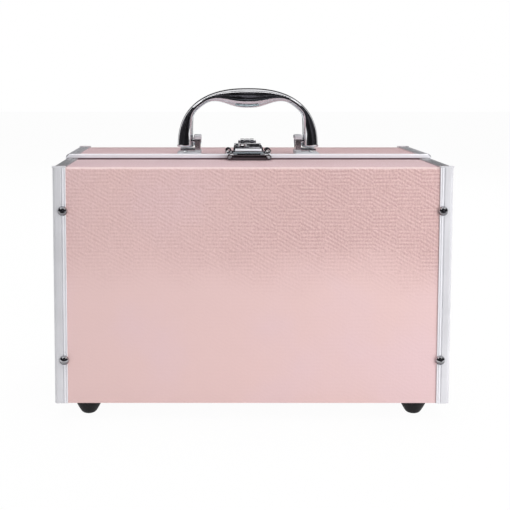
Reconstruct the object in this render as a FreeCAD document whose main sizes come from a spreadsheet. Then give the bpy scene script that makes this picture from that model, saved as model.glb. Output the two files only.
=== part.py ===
import FreeCAD, Part
import math
import os
import re
import Sketcher

# A hard makeup train case, in millimetres: +Z up, front towards -Y, +X to the right, standing on z = 0.
# The top is in two halves, a front flap and a rear lid. Each half hangs on a piano hinge and lifts a tray.
# Each tray is the coupler of a parallelogram: the half lid is one crank, the tray link is the other.

doc = FreeCAD.newDocument("MakeupTrainCase")
sizes = doc.addObject("Spreadsheet::Sheet", "Sizes")
names = []
nodes = []


def write_cell(name, text):
    """Put one named cell on the next row of the sheet."""
    row = len(names) + 1
    sizes.set("A%d" % row, name)
    sizes.set("B%d" % row, text)
    sizes.setAlias("B%d" % row, name)
    names.append(name)


DRIVING_SIZES = {
    # case
    "case_width": "300",
    "case_depth": "165",
    "body_height": "181",
    "board": "5",
    "bullnose_flat": "0.2",
    "lining": "0.8",
    # aluminium trims
    "trim_thick": "1.2",
    "trim_width": "10",
    "trim_proud": "1",
    "trim_round": "0.8",
    "trim_keep": "4",
    "top_trim_round": "2.5",
    # top halves
    "lid_board": "7",
    "lid_raise": "3.2",
    "lid_gap": "0.5",
    "split": "71.2",
    "split_gap": "1.2",
    "seal_thick": "0.8",
    "seal_rise": "1.1",
    "seal_depth": "5",
    "rail_thick": "1.5",
    "rail_lip": "4",
    "rail_corner": "3",
    # piano hinges
    "hinge_end_gap": "0.3",
    "hinge_drop": "1.5",
    "knuckle": "1.5",
    "hinge_clear": "0.1",
    "knuckle_gap": "0.3",
    "leaf": "0.9",
    "leaf_clear": "0.4",
    "leaf_drop": "14",
    "pin_radius": "0.8",
    "leaf_screw_radius": "2",
    "leaf_screw_dome": "0.7",
    "leaf_screw_inset": "20",
    "leaf_screw_middle": "48",
    "leaf_screw_drop": "8.4",
    # corner rivets
    "rivet_inset": "7.6",
    "rivet_rise": "33.5",
    "rivet_radius": "3.7",
    "rivet_dome": "2.9",
    "shank_radius": "1.5",
    "shank_cover": "1.2",
    # feet
    "foot_height": "12.5",
    "foot_inset_side": "24",
    "foot_inset_front": "17.5",
    "foot_top_radius": "11.2",
    "foot_base_radius": "7.2",
    "foot_round": "2.8",
    "foot_recess": "3.5",
    "foot_screw_radius": "1.6",
    "foot_screw_head": "2.4",
    "foot_screw_cover": "1",
    "foot_screw_clear": "0.2",
    # mirror
    "mirror_side_inset": "29.8",
    "mirror_front_inset": "15.8",
    "mirror_back_inset": "12.8",
    "mirror_thick": "1.8",
    "mirror_rim": "6",
    "mirror_rim_thick": "2.5",
    # handle
    "plate_gap": "0.8",
    "handle_rise": "10.5",
    "handle_reach": "44.3",
    "handle_half": "58.5",
    "leg_width": "12.5",
    "leg_depth": "11",
    "leg_tail": "4.7",
    "leg_blend": "2",
    "shoulder_place": "37",
    "shoulder_thick": "5.7",
    "grip_thick": "16.4",
    "grip_depth": "15",
    "bracket_width": "20",
    "bracket_margin": "0.3",
    "bracket_depth": "24",
    "bracket_base": "2.4",
    "lug_width": "6",
    "lug_radius": "5.5",
    "saddle_clear": "0.2",
    "saddle_space": "0.6",
    "saddle_thick": "1.3",
    "handle_pin_radius": "2",
    "handle_pin_grip": "7.5",
    "bracket_screw_radius": "2",
    "bracket_screw_dome": "1.2",
    "bracket_screw_spread": "9.2",
    # latch
    "latch_width": "38",
    "latch_length": "29.5",
    "latch_base": "1.4",
    "latch_pivot_inset": "4.5",
    "latch_pivot_rise": "9",
    "roll_radius": "2.7",
    "roll_bore": "1.7",
    "roll_length": "14",
    "ear_inner": "2.7",
    "ear_outer": "5.5",
    "ear_radius": "2.9",
    "lever_front_width": "25",
    "lever_back_width": "22",
    "lever_overhang": "1.5",
    "lever_back_gap": "1.6",
    "lever_front_rise": "4.6",
    "lever_back_rise": "8.4",
    "lever_clear": "0.4",
    "latch_pin_radius": "1.6",
    "latch_pin_half": "7.5",
    "lock_radius": "3",
    "lock_side": "4.5",
    "lock_inset": "13.5",
    "lock_proud": "1.5",
    "key_slot": "1",
    "key_slot_half": "2.1",
    "strike_width": "36",
    "strike_depth": "9",
    "strike_height": "4.4",
    "strike_round": "1.5",
    "strike_back_gap": "0.5",
    "slot_width": "16",
    "slot_depth": "4",
    "slot_height": "1.6",
    "plate_rivet_radius": "2.2",
    "plate_rivet_dome": "1",
    "plate_rivet_inset": "4",
    "latch_rivet_radius": "1.3",
    "latch_rivet_dome": "0.6",
    "latch_rivet_step": "8.5",
    # trays
    "crank": "42",
    "crank_drop": "21",
    "pivot_step_in": "8",
    "pivot_step_down": "16",
    "flap_tray_inset": "25",
    "lid_tray_inset": "29",
    "tray_side_gap": "7",
    "tray_clear": "0.8",
    "tray_height": "22",
    "tray_drop": "24.5",
    "tray_wall": "1.8",
    "tray_ear": "5",
    "arm_gap": "2",
    "arm_thick": "1.5",
    "arm_half": "3.5",
    "arm_flange": "10",
    "arm_foot": "14",
    "arm_pin_radius": "1.6",
    "arm_pin_head": "3.2",
    "arm_pin_head_thick": "1.1",
    "arm_pin_cover": "2",
    # running fit
    "fit": "0.05",
}

DERIVED_SIZES = {
    "half_width": "case_width / 2",
    "half_depth": "case_depth / 2",
    "panel_x": "half_width - trim_thick",
    "panel_y": "half_depth - trim_thick",
    "inner_x": "panel_x - board",
    "inner_y": "panel_y - board",
    "bullnose": "board / 2 - bullnose_flat",
    "hinge_length": "2 * (inner_x - hinge_end_gap)",
    "shank_depth": "trim_thick + board - shank_cover",
    "floor_top": "foot_height + board",
    "case_top": "foot_height + body_height",
    "flap_top": "case_top - trim_proud",
    "flap_under": "flap_top - lid_board",
    "side_top": "flap_under - lid_gap",
    "lid_trim_top": "case_top + lid_raise",
    "lid_top": "flap_top + lid_raise",
    "lid_under": "lid_top - lid_board",
    "axis_y": "inner_y - knuckle - hinge_clear",
    "flap_axis_z": "flap_top - hinge_drop",
    "lid_axis_z": "lid_top - hinge_drop",
    "edge_y": "axis_y - knuckle - leaf_clear",
    "lining_top": "flap_axis_z - leaf_drop - lining",
    "flap_back_y": "split - half_depth",
    "seal_y": "flap_back_y + split_gap",
    "rail_y": "seal_y + seal_thick",
    "lid_front_y": "rail_y + rail_thick",
    "rivet_x": "half_width - rivet_inset",
    "rivet_low": "foot_height + rivet_rise",
    "rivet_high": "case_top - rivet_rise",
    "foot_x": "half_width - foot_inset_side",
    "foot_y": "half_depth - foot_inset_front",
    "foot_screw_length": "floor_top - foot_screw_cover - foot_recess",
    "mirror_half": "panel_x - mirror_side_inset",
    "mirror_front": "lid_front_y + mirror_front_inset",
    "mirror_back": "edge_y - mirror_back_inset",
    "plate_y": "rail_y + rail_lip + plate_gap",
    "handle_place": "plate_y + bracket_depth / 2",
    "pivot_z": "lid_top + handle_rise",
    "leg_centre": "handle_half - leg_width / 2",
    "bracket_outer": "handle_half + bracket_margin",
    "bracket_inner": "bracket_outer - bracket_width",
    "leg_sweep": "sqrt(leg_tail ^ 2 + (leg_depth / 2) ^ 2)",
    "saddle_top": "pivot_z - leg_depth / 2 - saddle_clear",
    "saddle_inner": "sqrt((leg_sweep + saddle_space) ^ 2 - (leg_depth / 2 + saddle_clear) ^ 2)",
    "handle_pin_length": "handle_half - leg_width + handle_pin_grip - bracket_inner",
    "latch_back": "plate_y + latch_length",
    "latch_pivot_place": "latch_back - latch_pivot_inset",
    "lever_front": "plate_y - lever_overhang",
    "lever_back": "latch_pivot_place - ear_radius - lever_back_gap",
    "lock_place": "latch_pivot_place - lock_inset",
    "latch_pivot_z": "lid_top + latch_pivot_rise",
    "latch_base_top": "lid_top + latch_base",
    "strike_back_y": "flap_back_y - strike_back_gap",
    "strike_top": "flap_top + strike_height",
    "crank_run": "sqrt(crank ^ 2 - crank_drop ^ 2)",
    "arm_pivot_y": "axis_y - crank_run",
    "link_ground_y": "axis_y - pivot_step_in",
    "link_tray_y": "arm_pivot_y - pivot_step_in",
    "tray_x": "inner_x - lining - tray_side_gap",
    "tray_swing": "crank - crank_run",
    "flap_tray_back": "seal_y - tray_swing - tray_clear",
    "lid_tray_front": "flap_back_y + tray_swing + 2 * tray_clear",
    "arm_x": "tray_x + arm_gap",
    "arm_out_x": "arm_x + arm_thick",
    "tray_rim": "flap_under - tray_drop",
    "tray_base": "tray_rim - tray_height",
    "wall_pin_end": "panel_x - arm_pin_cover",
}

for size_name, size_text in DRIVING_SIZES.items():
    write_cell(size_name, size_text)
for size_name, size_text in DERIVED_SIZES.items():
    write_cell(size_name, "=" + size_text)
doc.recompute()


def bound(text):
    """Point every size word of an expression at the sheet."""
    def to_cell(word):
        return "Sizes." + word.group() if word.group() in names else word.group()
    return re.sub(r"[a-z_]+", to_cell, text)


def value(text):
    """The present value of an expression of size words."""
    return float(sizes.evalExpression(bound(text)))


def keep(piece, label):
    """Name a finished piece as one node of the part."""
    piece.Label = label
    nodes.append(piece)
    return piece


def box(name, x, y, z):
    """A box between low and high expressions along each axis."""
    solid = doc.addObject("Part::Box", name)
    for side, axis, (low, high) in (("Length", "x", x), ("Width", "y", y), ("Height", "z", z)):
        solid.setExpression(side, bound("(%s) - (%s)" % (high, low)))
        solid.setExpression("Placement.Base." + axis, bound(low))
    return solid


TURNS = {
    "+x": FreeCAD.Rotation(FreeCAD.Vector(0, 1, 0), 90),
    "-x": FreeCAD.Rotation(FreeCAD.Vector(0, 1, 0), -90),
    "+y": FreeCAD.Rotation(FreeCAD.Vector(1, 0, 0), -90),
    "-y": FreeCAD.Rotation(FreeCAD.Vector(1, 0, 0), 90),
    "+z": FreeCAD.Rotation(),
    "-z": FreeCAD.Rotation(FreeCAD.Vector(1, 0, 0), 180),
}


def stand(solid, start, way):
    """Stand a turned primitive on a start point, its axis along one way of the frame."""
    solid.Placement = FreeCAD.Placement(FreeCAD.Vector(), TURNS[way])
    for axis, text in zip("xyz", start):
        solid.setExpression("Placement.Base." + axis, bound(text))
    return solid


def rod(name, radius, length, start, way):
    """A cylinder that runs from a start point along one way."""
    solid = doc.addObject("Part::Cylinder", name)
    solid.setExpression("Radius", bound(radius))
    solid.setExpression("Height", bound(length))
    return stand(solid, start, way)


def dome(name, radius, rise, start, way):
    """A round rivet head whose flat side lies at the start point."""
    ball = "((%s) ^ 2 + (%s) ^ 2) / (2 * (%s))" % (radius, rise, rise)
    solid = doc.addObject("Part::Sphere", name)
    solid.setExpression("Radius", bound(ball))
    solid.setExpression("Angle1", bound("asin((%s - (%s)) / (%s))" % (ball, rise, ball)))
    solid.Angle2 = 90
    sign = "+" if way[0] == "-" else "-"
    sunk = list(start)
    place = "xyz".index(way[1])
    sunk[place] = "(%s) %s (%s - (%s))" % (start[place], sign, ball, rise)
    return stand(solid, sunk, way)


def fuse(name, pieces):
    solid = doc.addObject("Part::MultiFuse", name)
    solid.Shapes = pieces
    solid.Refine = True
    return solid


def group(name, pieces):
    solid = doc.addObject("Part::Compound", name)
    solid.Links = pieces
    return solid


def cut(name, base, tools):
    solid = doc.addObject("Part::Cut", name)
    solid.Base = base
    solid.Tool = tools[0] if len(tools) == 1 else group(name + "_tools", tools)
    solid.Refine = False
    return solid


def mirror(name, source, axis):
    """The same piece on the other side of the frame's middle plane."""
    solid = doc.addObject("Part::Mirroring", name)
    solid.Source = source
    solid.Base = FreeCAD.Vector()
    solid.Normal = FreeCAD.Vector(1, 0, 0) if axis == "x" else FreeCAD.Vector(0, 1, 0)
    return solid


def both_sides(name, source):
    """A piece and its mirror image across the left and right halves."""
    return group(name, [source, mirror(name + "_left", source, "x")])


def all_corners(name, source):
    """A piece repeated at the four corners of the frame."""
    pair = both_sides(name + "_front", source)
    return group(name, [pair, mirror(name + "_rear", pair, "y")])


PAD_AXES = {"XY_Plane": 1, "YZ_Plane": 1, "XZ_Plane": -1}


def profile(name, plane, outline, low, high):
    """A body padded from a straight-sided outline, between two places along the plane's normal."""
    body = doc.addObject("PartDesign::Body", name)
    sketch = body.newObject("Sketcher::SketchObject", name + "_outline")
    origin_plane = [item for item in body.Origin.OriginFeatures if item.Role == plane]
    sketch.AttachmentSupport = (origin_plane[0], [""])
    sketch.MapMode = "FlatFace"
    start = low if PAD_AXES[plane] > 0 else "-(%s)" % high
    sketch.setExpression("AttachmentOffset.Base.z", bound(start))
    corners = [FreeCAD.Vector(value(across), value(along), 0) for across, along in outline]
    count = len(corners)
    for index in range(count):
        sketch.addGeometry(Part.LineSegment(corners[index], corners[(index + 1) % count]), False)
    for index in range(count):
        sketch.addConstraint(Sketcher.Constraint("Coincident", index, 2, (index + 1) % count, 1))
    for index, (across, along) in enumerate(outline):
        for kind, text, number in (
            ("DistanceX", across, corners[index].x),
            ("DistanceY", along, corners[index].y),
        ):
            made = sketch.addConstraint(Sketcher.Constraint(kind, -1, 1, index, 1, number))
            sketch.setExpression("Constraints[%d]" % made, bound(text))
    pad = body.newObject("PartDesign::Pad", name + "_pad")
    pad.Profile = sketch
    pad.setExpression("Length", bound("(%s) - (%s)" % (high, low)))
    doc.recompute()
    return body


def round_edges(body, radius, chosen):
    """Fillet the edges of a body's last feature whose middle point is chosen."""
    base = body.Tip
    edges = []
    for index, edge in enumerate(base.Shape.Edges):
        if chosen(edge.CenterOfMass):
            edges.append("Edge%d" % (index + 1))
    fillet = body.newObject("PartDesign::Fillet", body.Name + "_round")
    fillet.Base = (base, edges)
    fillet.setExpression("Radius", bound(radius))
    body.Tip = fillet
    doc.recompute()
    return body


def near(number, text):
    return abs(number - value(text)) < 1e-6


def rectangle(low_across, high_across, low_along, high_along):
    return [
        (low_across, low_along),
        (high_across, low_along),
        (high_across, high_along),
        (low_across, high_along),
    ]


# Corner rivets and the holes that they fill

def rivet(name, height):
    head = dome(name + "_head", "rivet_radius", "rivet_dome", ("rivet_x", "-half_depth", height), "-y")
    shank = rod(name + "_shank", "shank_radius", "shank_depth", ("rivet_x", "-half_depth", height), "+y")
    return fuse(name, [head, shank])


def rivet_hole(name, height):
    start = ("rivet_x", "-half_depth - trim_thick", height)
    return rod(name, "shank_radius + fit", "shank_depth + trim_thick + fit", start, "+y")


corner_pair = group("rivet_pair", [rivet("rivet_lower", "rivet_low"), rivet("rivet_upper", "rivet_high")])
keep(all_corners("rivets", corner_pair), "corner_rivets")
hole_pair = group(
    "hole_pair", [rivet_hole("hole_lower", "rivet_low"), rivet_hole("hole_upper", "rivet_high")])
front_holes = both_sides("front_holes", hole_pair)
rear_holes = mirror("rear_holes", front_holes, "y")


# Boards of the case

def end_board(name, top):
    """A front or rear board with a bullnosed top edge, modelled on the front side."""
    body = profile(
        name, "YZ_Plane",
        rectangle("-panel_y", "-inner_y", "foot_height", top),
        "-panel_x", "panel_x",
    )
    return round_edges(body, "bullnose", lambda middle: near(middle.z, top) and near(middle.x, "0"))


front_board = end_board("front_board", "flap_top")
rear_board = mirror("rear_board", end_board("rear_board_front", "lid_top"), "y")
keep(cut("front_panel_cut", front_board, [front_holes]), "front_panel")
keep(cut("rear_panel_cut", rear_board, [rear_holes]), "rear_panel")
foot_bore = rod(
    "foot_bore", "foot_screw_radius + fit", "board + foot_height",
    ("foot_x", "-foot_y", "foot_height - fit"), "+z",
)
bottom_board = box(
    "bottom_board", ("-inner_x", "inner_x"), ("-inner_y", "inner_y"), ("foot_height", "floor_top"))
keep(cut("bottom_cut", bottom_board, [all_corners("foot_bores", foot_bore)]), "bottom_panel")


def link_bore(name, z_text):
    """The hole in a side wall for the fixed pin of a tray link, on the front side."""
    start = ("arm_out_x", "-link_ground_y", z_text)
    return rod(name, "arm_pin_radius + fit", "wall_pin_end + fit - arm_out_x", start, "+x")


flap_link_z = "flap_axis_z - pivot_step_down"
lid_link_z = "lid_axis_z - pivot_step_down"
link_bores = group("link_bores", [
    link_bore("flap_link_bore", flap_link_z),
    mirror("lid_link_bore_rear", link_bore("lid_link_bore", lid_link_z), "y"),
])
side_board = box("side_board", ("inner_x", "panel_x"), ("-inner_y", "inner_y"), ("foot_height", "side_top"))
right_side = keep(cut("right_side", side_board, [link_bores]), "right_side_panel")
keep(mirror("left_side", right_side, "x"), "left_side_panel")


# Lining sheets glued on the walls and the floor

front_sheet = box(
    "front_sheet", ("-inner_x", "inner_x"), ("-inner_y", "lining - inner_y"),
    ("floor_top + lining", "lining_top"),
)
keep(front_sheet, "front_lining")
keep(mirror("rear_sheet", front_sheet, "y"), "rear_lining")
side_sheet = box(
    "side_sheet", ("inner_x - lining", "inner_x"), ("lining - inner_y", "inner_y - lining"),
    ("floor_top + lining", "lining_top"),
)
right_lining = keep(cut("right_sheet", side_sheet, [link_bores]), "right_lining")
keep(mirror("left_sheet", right_lining, "x"), "left_lining")
floor_sheet = box(
    "floor_sheet", ("-inner_x", "inner_x"), ("-inner_y", "inner_y"), ("floor_top", "floor_top + lining"))
keep(floor_sheet, "floor_lining")


# Aluminium trims

def corner_trim(name, top):
    """An upright corner angle on the front right corner, with its side leg cut back beside the lid."""
    outline = [
        ("half_width - trim_width", "-half_depth"),
        ("half_width", "-half_depth"),
        ("half_width", "trim_width - half_depth"),
        ("panel_x", "trim_width - half_depth"),
        ("panel_x", "-panel_y"),
        ("half_width - trim_width", "-panel_y"),
    ]
    body = profile(name + "_angle", "XY_Plane", outline, "foot_height", top)
    round_edges(
        body, "trim_round",
        lambda middle: near(middle.x, "half_width") and near(middle.y, "-half_depth"),
    )
    notch = box(
        name + "_notch", ("panel_x - trim_thick", "half_width + trim_thick"),
        ("trim_keep - half_depth", "trim_width - half_depth + trim_thick"),
        ("side_top", top + " + trim_thick"),
    )
    return cut(name, body, [notch, hole_pair])


right_corner = keep(corner_trim("front_right_trim", "case_top"), "front_right_corner_trim")
keep(mirror("front_left_trim", right_corner, "x"), "front_left_corner_trim")
rear_corner = mirror("rear_right_trim", corner_trim("rear_trim_front", "lid_trim_top"), "y")
keep(rear_corner, "rear_right_corner_trim")
keep(mirror("rear_left_trim", rear_corner, "x"), "rear_left_corner_trim")

bottom_angle = [
    ("half_width - trim_width", "foot_height - trim_thick"),
    ("half_width", "foot_height - trim_thick"),
    ("half_width", "foot_height + trim_width"),
    ("panel_x", "foot_height + trim_width"),
    ("panel_x", "foot_height"),
    ("half_width - trim_width", "foot_height"),
]
bottom_trim = profile(
    "bottom_trim", "XZ_Plane", bottom_angle, "trim_width - half_depth", "half_depth - trim_width")
round_edges(
    bottom_trim, "trim_round",
    lambda middle: near(middle.x, "half_width") and near(middle.z, "foot_height - trim_thick"),
)
keep(bottom_trim, "bottom_right_trim")
keep(mirror("bottom_trim_left", bottom_trim, "x"), "bottom_left_trim")


def top_trim(name, top, low_y, high_y):
    """An edge angle on the right edge of a top half, hanging down to the side board."""
    outline = [
        ("half_width - trim_width", top),
        ("panel_x", top),
        ("panel_x", "flap_under"),
        ("half_width", "flap_under"),
        ("half_width", top + " + trim_proud"),
        ("half_width - trim_width", top + " + trim_proud"),
    ]
    body = profile(name, "XZ_Plane", outline, low_y, high_y)
    return round_edges(
        body, "top_trim_round",
        lambda middle: near(middle.x, "half_width") and near(middle.z, top + " + trim_proud"),
    )


# Rubber feet and their screws

foot_cone = doc.addObject("Part::Cone", "foot_cone")
foot_cone.setExpression("Radius1", bound("foot_base_radius - foot_round"))
foot_cone.setExpression("Radius2", bound("foot_base_radius"))
foot_cone.setExpression("Height", bound("foot_round"))
stand(foot_cone, ("foot_x", "-foot_y", "0"), "+z")
foot_body = doc.addObject("Part::Cone", "foot_body")
foot_body.setExpression("Radius1", bound("foot_base_radius"))
foot_body.setExpression("Radius2", bound("foot_top_radius"))
foot_body.setExpression("Height", bound("foot_height - foot_round"))
stand(foot_body, ("foot_x", "-foot_y", "foot_round"), "+z")
foot_recess = rod(
    "foot_recess", "foot_screw_head + foot_screw_clear", "foot_recess + foot_round",
    ("foot_x", "-foot_y", "-foot_round"), "+z",
)
foot_hole = rod(
    "foot_hole", "foot_screw_radius + fit", "2 * foot_height", ("foot_x", "-foot_y", "-foot_round"), "+z")
foot = cut("foot", fuse("foot_solid", [foot_cone, foot_body]), [foot_recess, foot_hole])
keep(all_corners("feet", foot), "rubber_feet")
foot_head = dome(
    "foot_head", "foot_screw_head", "foot_recess - foot_round", ("foot_x", "-foot_y", "foot_recess"), "-z")
foot_thread = rod(
    "foot_thread", "foot_screw_radius", "foot_screw_length", ("foot_x", "-foot_y", "foot_recess"), "+z")
keep(all_corners("foot_screw_set", fuse("foot_screw", [foot_head, foot_thread])), "foot_screws")


# Piano hinges, modelled on the front side: fixed knuckles alternate with moving ones

FIXED_KNUCKLES = (0, 2, 4)
MOVING_KNUCKLES = (1, 3)


def knuckle_row(name, chosen, axis_z, low_y, high_y):
    """Knuckles of one leaf, each a tube with a tab that reaches the leaf."""
    count = len(FIXED_KNUCKLES) + len(MOVING_KNUCKLES)
    pieces = []
    for place in chosen:
        low = "hinge_length * %d / %d - hinge_length / 2 + knuckle_gap / 2" % (place, count)
        high = "hinge_length * %d / %d - hinge_length / 2 - knuckle_gap / 2" % (place + 1, count)
        tube = rod(
            "%s_tube_%d" % (name, place), "knuckle", "hinge_length / %d - knuckle_gap" % count,
            (low, "-axis_y", axis_z), "+x",
        )
        tab_z = (axis_z + " - 2 * knuckle", axis_z)
        tab = box("%s_tab_%d" % (name, place), (low, high), (low_y, high_y), tab_z)
        pieces += [tube, tab]
    return pieces


def hinge(name, axis_z, moving_under):
    """The case leaf, the moving leaf and the pin of one hinge."""
    bore = rod(
        name + "_bore", "pin_radius + fit", "hinge_length * 2", ("-hinge_length", "-axis_y", axis_z), "+x")
    leaf_top = axis_z + " - knuckle - hinge_clear * 2"
    half = ("-hinge_length / 2", "hinge_length / 2")
    plate = box(name + "_plate", half, ("-inner_y", "leaf - inner_y"), (axis_z + " - leaf_drop", leaf_top))
    row = knuckle_row(name + "_fixed", FIXED_KNUCKLES, axis_z, "-inner_y", "leaf - inner_y")
    case_leaf = cut(name + "_case", fuse(name + "_case_solid", [plate] + row), [bore])
    wing = box(name + "_wing", half, ("-edge_y - leaf", "-edge_y"), (moving_under, leaf_top))
    row = knuckle_row(name + "_moving", MOVING_KNUCKLES, axis_z, "-edge_y - leaf", "-edge_y")
    moving_leaf = cut(name + "_lid", fuse(name + "_lid_solid", [wing] + row), [bore])
    pin = rod(name + "_pin", "pin_radius", "hinge_length", ("-hinge_length / 2", "-axis_y", axis_z), "+x")
    screw_z = axis_z + " - leaf_screw_drop"
    screw = dome(
        name + "_screw", "leaf_screw_radius", "leaf_screw_dome",
        ("hinge_length / 2 - leaf_screw_inset", "leaf - inner_y", screw_z), "+y",
    )
    inner_screw = dome(
        name + "_inner_screw", "leaf_screw_radius", "leaf_screw_dome",
        ("leaf_screw_middle", "leaf - inner_y", screw_z), "+y",
    )
    screws = both_sides(name + "_screws", group(name + "_screw_pair", [screw, inner_screw]))
    return case_leaf, moving_leaf, pin, screws


HINGE_NODES = ("hinge_case_leaf", "hinge_lid_leaf", "hinge_pin", "hinge_screws")
for label, made in zip(HINGE_NODES, hinge("flap_side_hinge", "flap_axis_z", "flap_under")):
    keep(made, "front_" + label)
for label, made in zip(HINGE_NODES, hinge("lid_side_hinge", "lid_axis_z", "lid_under")):
    keep(mirror("rear_" + label + "_turned", made, "y"), "rear_" + label)


# Front flap with the strike plate of the latch

flap = box("flap", ("-panel_x", "panel_x"), ("-edge_y", "flap_back_y"), ("flap_under", "flap_top"))
keep(flap, "front_flap_panel")
flap_trim = keep(top_trim("flap_trim", "flap_top", "-edge_y", "flap_back_y"), "flap_right_trim")
keep(mirror("flap_trim_left", flap_trim, "x"), "flap_left_trim")
strike = profile(
    "strike", "XY_Plane",
    rectangle("-strike_width / 2", "strike_width / 2", "strike_back_y - strike_depth", "strike_back_y"),
    "flap_top", "strike_top",
)
round_edges(strike, "strike_round", lambda middle: near(middle.z, "strike_top"))
strike_slot = box(
    "strike_slot", ("-slot_width / 2", "slot_width / 2"),
    ("strike_back_y - slot_depth", "strike_back_y + slot_depth"),
    ("flap_top + (strike_height - slot_height) / 2", "flap_top + (strike_height + slot_height) / 2"),
)
keep(cut("strike_cut", strike, [strike_slot]), "strike_plate")
strike_rivet = dome(
    "strike_rivet", "plate_rivet_radius", "plate_rivet_dome",
    ("strike_width / 2 - plate_rivet_inset", "strike_back_y - strike_depth / 2", "strike_top"), "+z",
)
keep(both_sides("strike_rivet_pair", strike_rivet), "strike_rivets")


# Rear lid with its rail, trims, seal and mirror

lid = box("lid", ("-panel_x", "panel_x"), ("lid_front_y", "edge_y"), ("lid_under", "lid_top"))
keep(lid, "rear_lid_panel")
lid_trim = keep(top_trim("lid_trim", "lid_top", "lid_front_y", "edge_y"), "lid_right_trim")
keep(mirror("lid_trim_left", lid_trim, "x"), "lid_left_trim")
rail_outline = [
    ("-half_width", "flap_under"),
    ("half_width", "flap_under"),
    ("half_width", "lid_trim_top - rail_corner"),
    ("half_width - rail_corner", "lid_trim_top"),
    ("rail_corner - half_width", "lid_trim_top"),
    ("-half_width", "lid_trim_top - rail_corner"),
]
rail_face = profile("rail_face", "XZ_Plane", rail_outline, "rail_y", "lid_front_y")
rail_top = box(
    "rail_top", ("trim_width - half_width", "half_width - trim_width"), ("rail_y", "rail_y + rail_lip"),
    ("lid_top", "lid_trim_top"),
)
keep(fuse("rail", [rail_face, rail_top]), "lid_front_rail")
seal = box(
    "seal", ("-panel_x", "panel_x"), ("seal_y", "rail_y"), ("flap_top - seal_depth", "flap_top + seal_rise"))
keep(seal, "lid_seal")
glass = box(
    "glass", ("-mirror_half", "mirror_half"), ("mirror_front", "mirror_back"),
    ("lid_under - mirror_thick", "lid_under"),
)
keep(glass, "mirror")
rim_plate = box(
    "rim_plate", ("-mirror_half - mirror_rim", "mirror_half + mirror_rim"),
    ("mirror_front - mirror_rim", "mirror_back + mirror_rim"), ("lid_under - mirror_rim_thick", "lid_under"),
)
rim_window = box(
    "rim_window", ("-mirror_half", "mirror_half"), ("mirror_front", "mirror_back"),
    ("lid_under - 2 * mirror_rim_thick", "lid_under + mirror_rim_thick"),
)
keep(cut("rim", rim_plate, [rim_window]), "mirror_frame")


# Handle brackets, pins and screws

bracket_y = ("handle_place - bracket_depth / 2", "handle_place + bracket_depth / 2")
bracket_plate = profile(
    "bracket_plate", "XY_Plane", rectangle("bracket_inner", "bracket_outer", bracket_y[0], bracket_y[1]),
    "lid_top", "lid_top + bracket_base",
)
round_edges(bracket_plate, "bracket_base / 2", lambda middle: near(middle.z, "lid_top + bracket_base"))
lug_x = ("bracket_inner", "bracket_inner + lug_width")
lug_post = box(
    "lug_post", lug_x, ("handle_place - lug_radius", "handle_place + lug_radius"),
    ("lid_top + bracket_base / 2", "pivot_z"),
)
lug_eye = rod("lug_eye", "lug_radius", "lug_width", ("bracket_inner", "handle_place", "pivot_z"), "+x")
lug_start = ("bracket_inner", "handle_place", "pivot_z")
lug_bore = rod("lug_bore", "handle_pin_radius + fit", "bracket_width", lug_start, "+x")
saddle_walls = []
for word, saddle_y in (
    ("front", ("handle_place - saddle_inner - saddle_thick", "handle_place - saddle_inner")),
    ("rear", ("handle_place + saddle_inner", "handle_place + saddle_inner + saddle_thick")),
):
    saddle_walls.append(box(
        "saddle_" + word, ("bracket_inner + lug_width / 2", "bracket_outer - bracket_base"), saddle_y,
        ("lid_top + bracket_base / 2", "saddle_top"),
    ))
bracket = cut("bracket", fuse("bracket_solid", [bracket_plate, lug_post, lug_eye] + saddle_walls), [lug_bore])
keep(bracket, "right_handle_bracket")
keep(mirror("bracket_left", bracket, "x"), "left_handle_bracket")
handle_pin = rod("handle_pin", "handle_pin_radius", "handle_pin_length", lug_start, "+x")
keep(both_sides("handle_pin_pair", handle_pin), "handle_pins")
screw_spots = ("handle_place - bracket_screw_spread", "handle_place + bracket_screw_spread")
bracket_screws = []
for index, spot in enumerate(screw_spots):
    bracket_screws.append(dome(
        "bracket_screw_%d" % index, "bracket_screw_radius", "bracket_screw_dome",
        ("leg_centre", spot, "lid_top + bracket_base"), "+z",
    ))
keep(both_sides("bracket_screw_set", group("bracket_screw_pair", bracket_screws)), "bracket_screws")


# Handle: a lofted bow whose section swells from the legs to the grip

QUARTERS = 4


def handle_section(centre_x, centre_z, lean, thick, depth):
    """An oval section of four arcs; lean is the bow's direction, 90 degrees where it runs straight up."""
    across = FreeCAD.Vector(math.sin(math.radians(lean)), 0, -math.cos(math.radians(lean)))
    middle = FreeCAD.Vector(centre_x, value("handle_place"), value("pivot_z") + centre_z)

    def rim(turn):
        side = FreeCAD.Vector(0, depth / 2 * math.sin(turn), 0)
        return middle + across * (thick / 2 * math.cos(turn)) + side

    quarter = 2 * math.pi / QUARTERS
    arcs = []
    for index in range(QUARTERS):
        start = index * quarter
        arcs.append(Part.Arc(rim(start), rim(start + quarter / 2), rim(start + quarter)).toShape())
    return Part.Wire(arcs)


ARCH_POWER = 2.4
GRIP_POWER = 1.25
ARCH_STATIONS = 18


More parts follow.
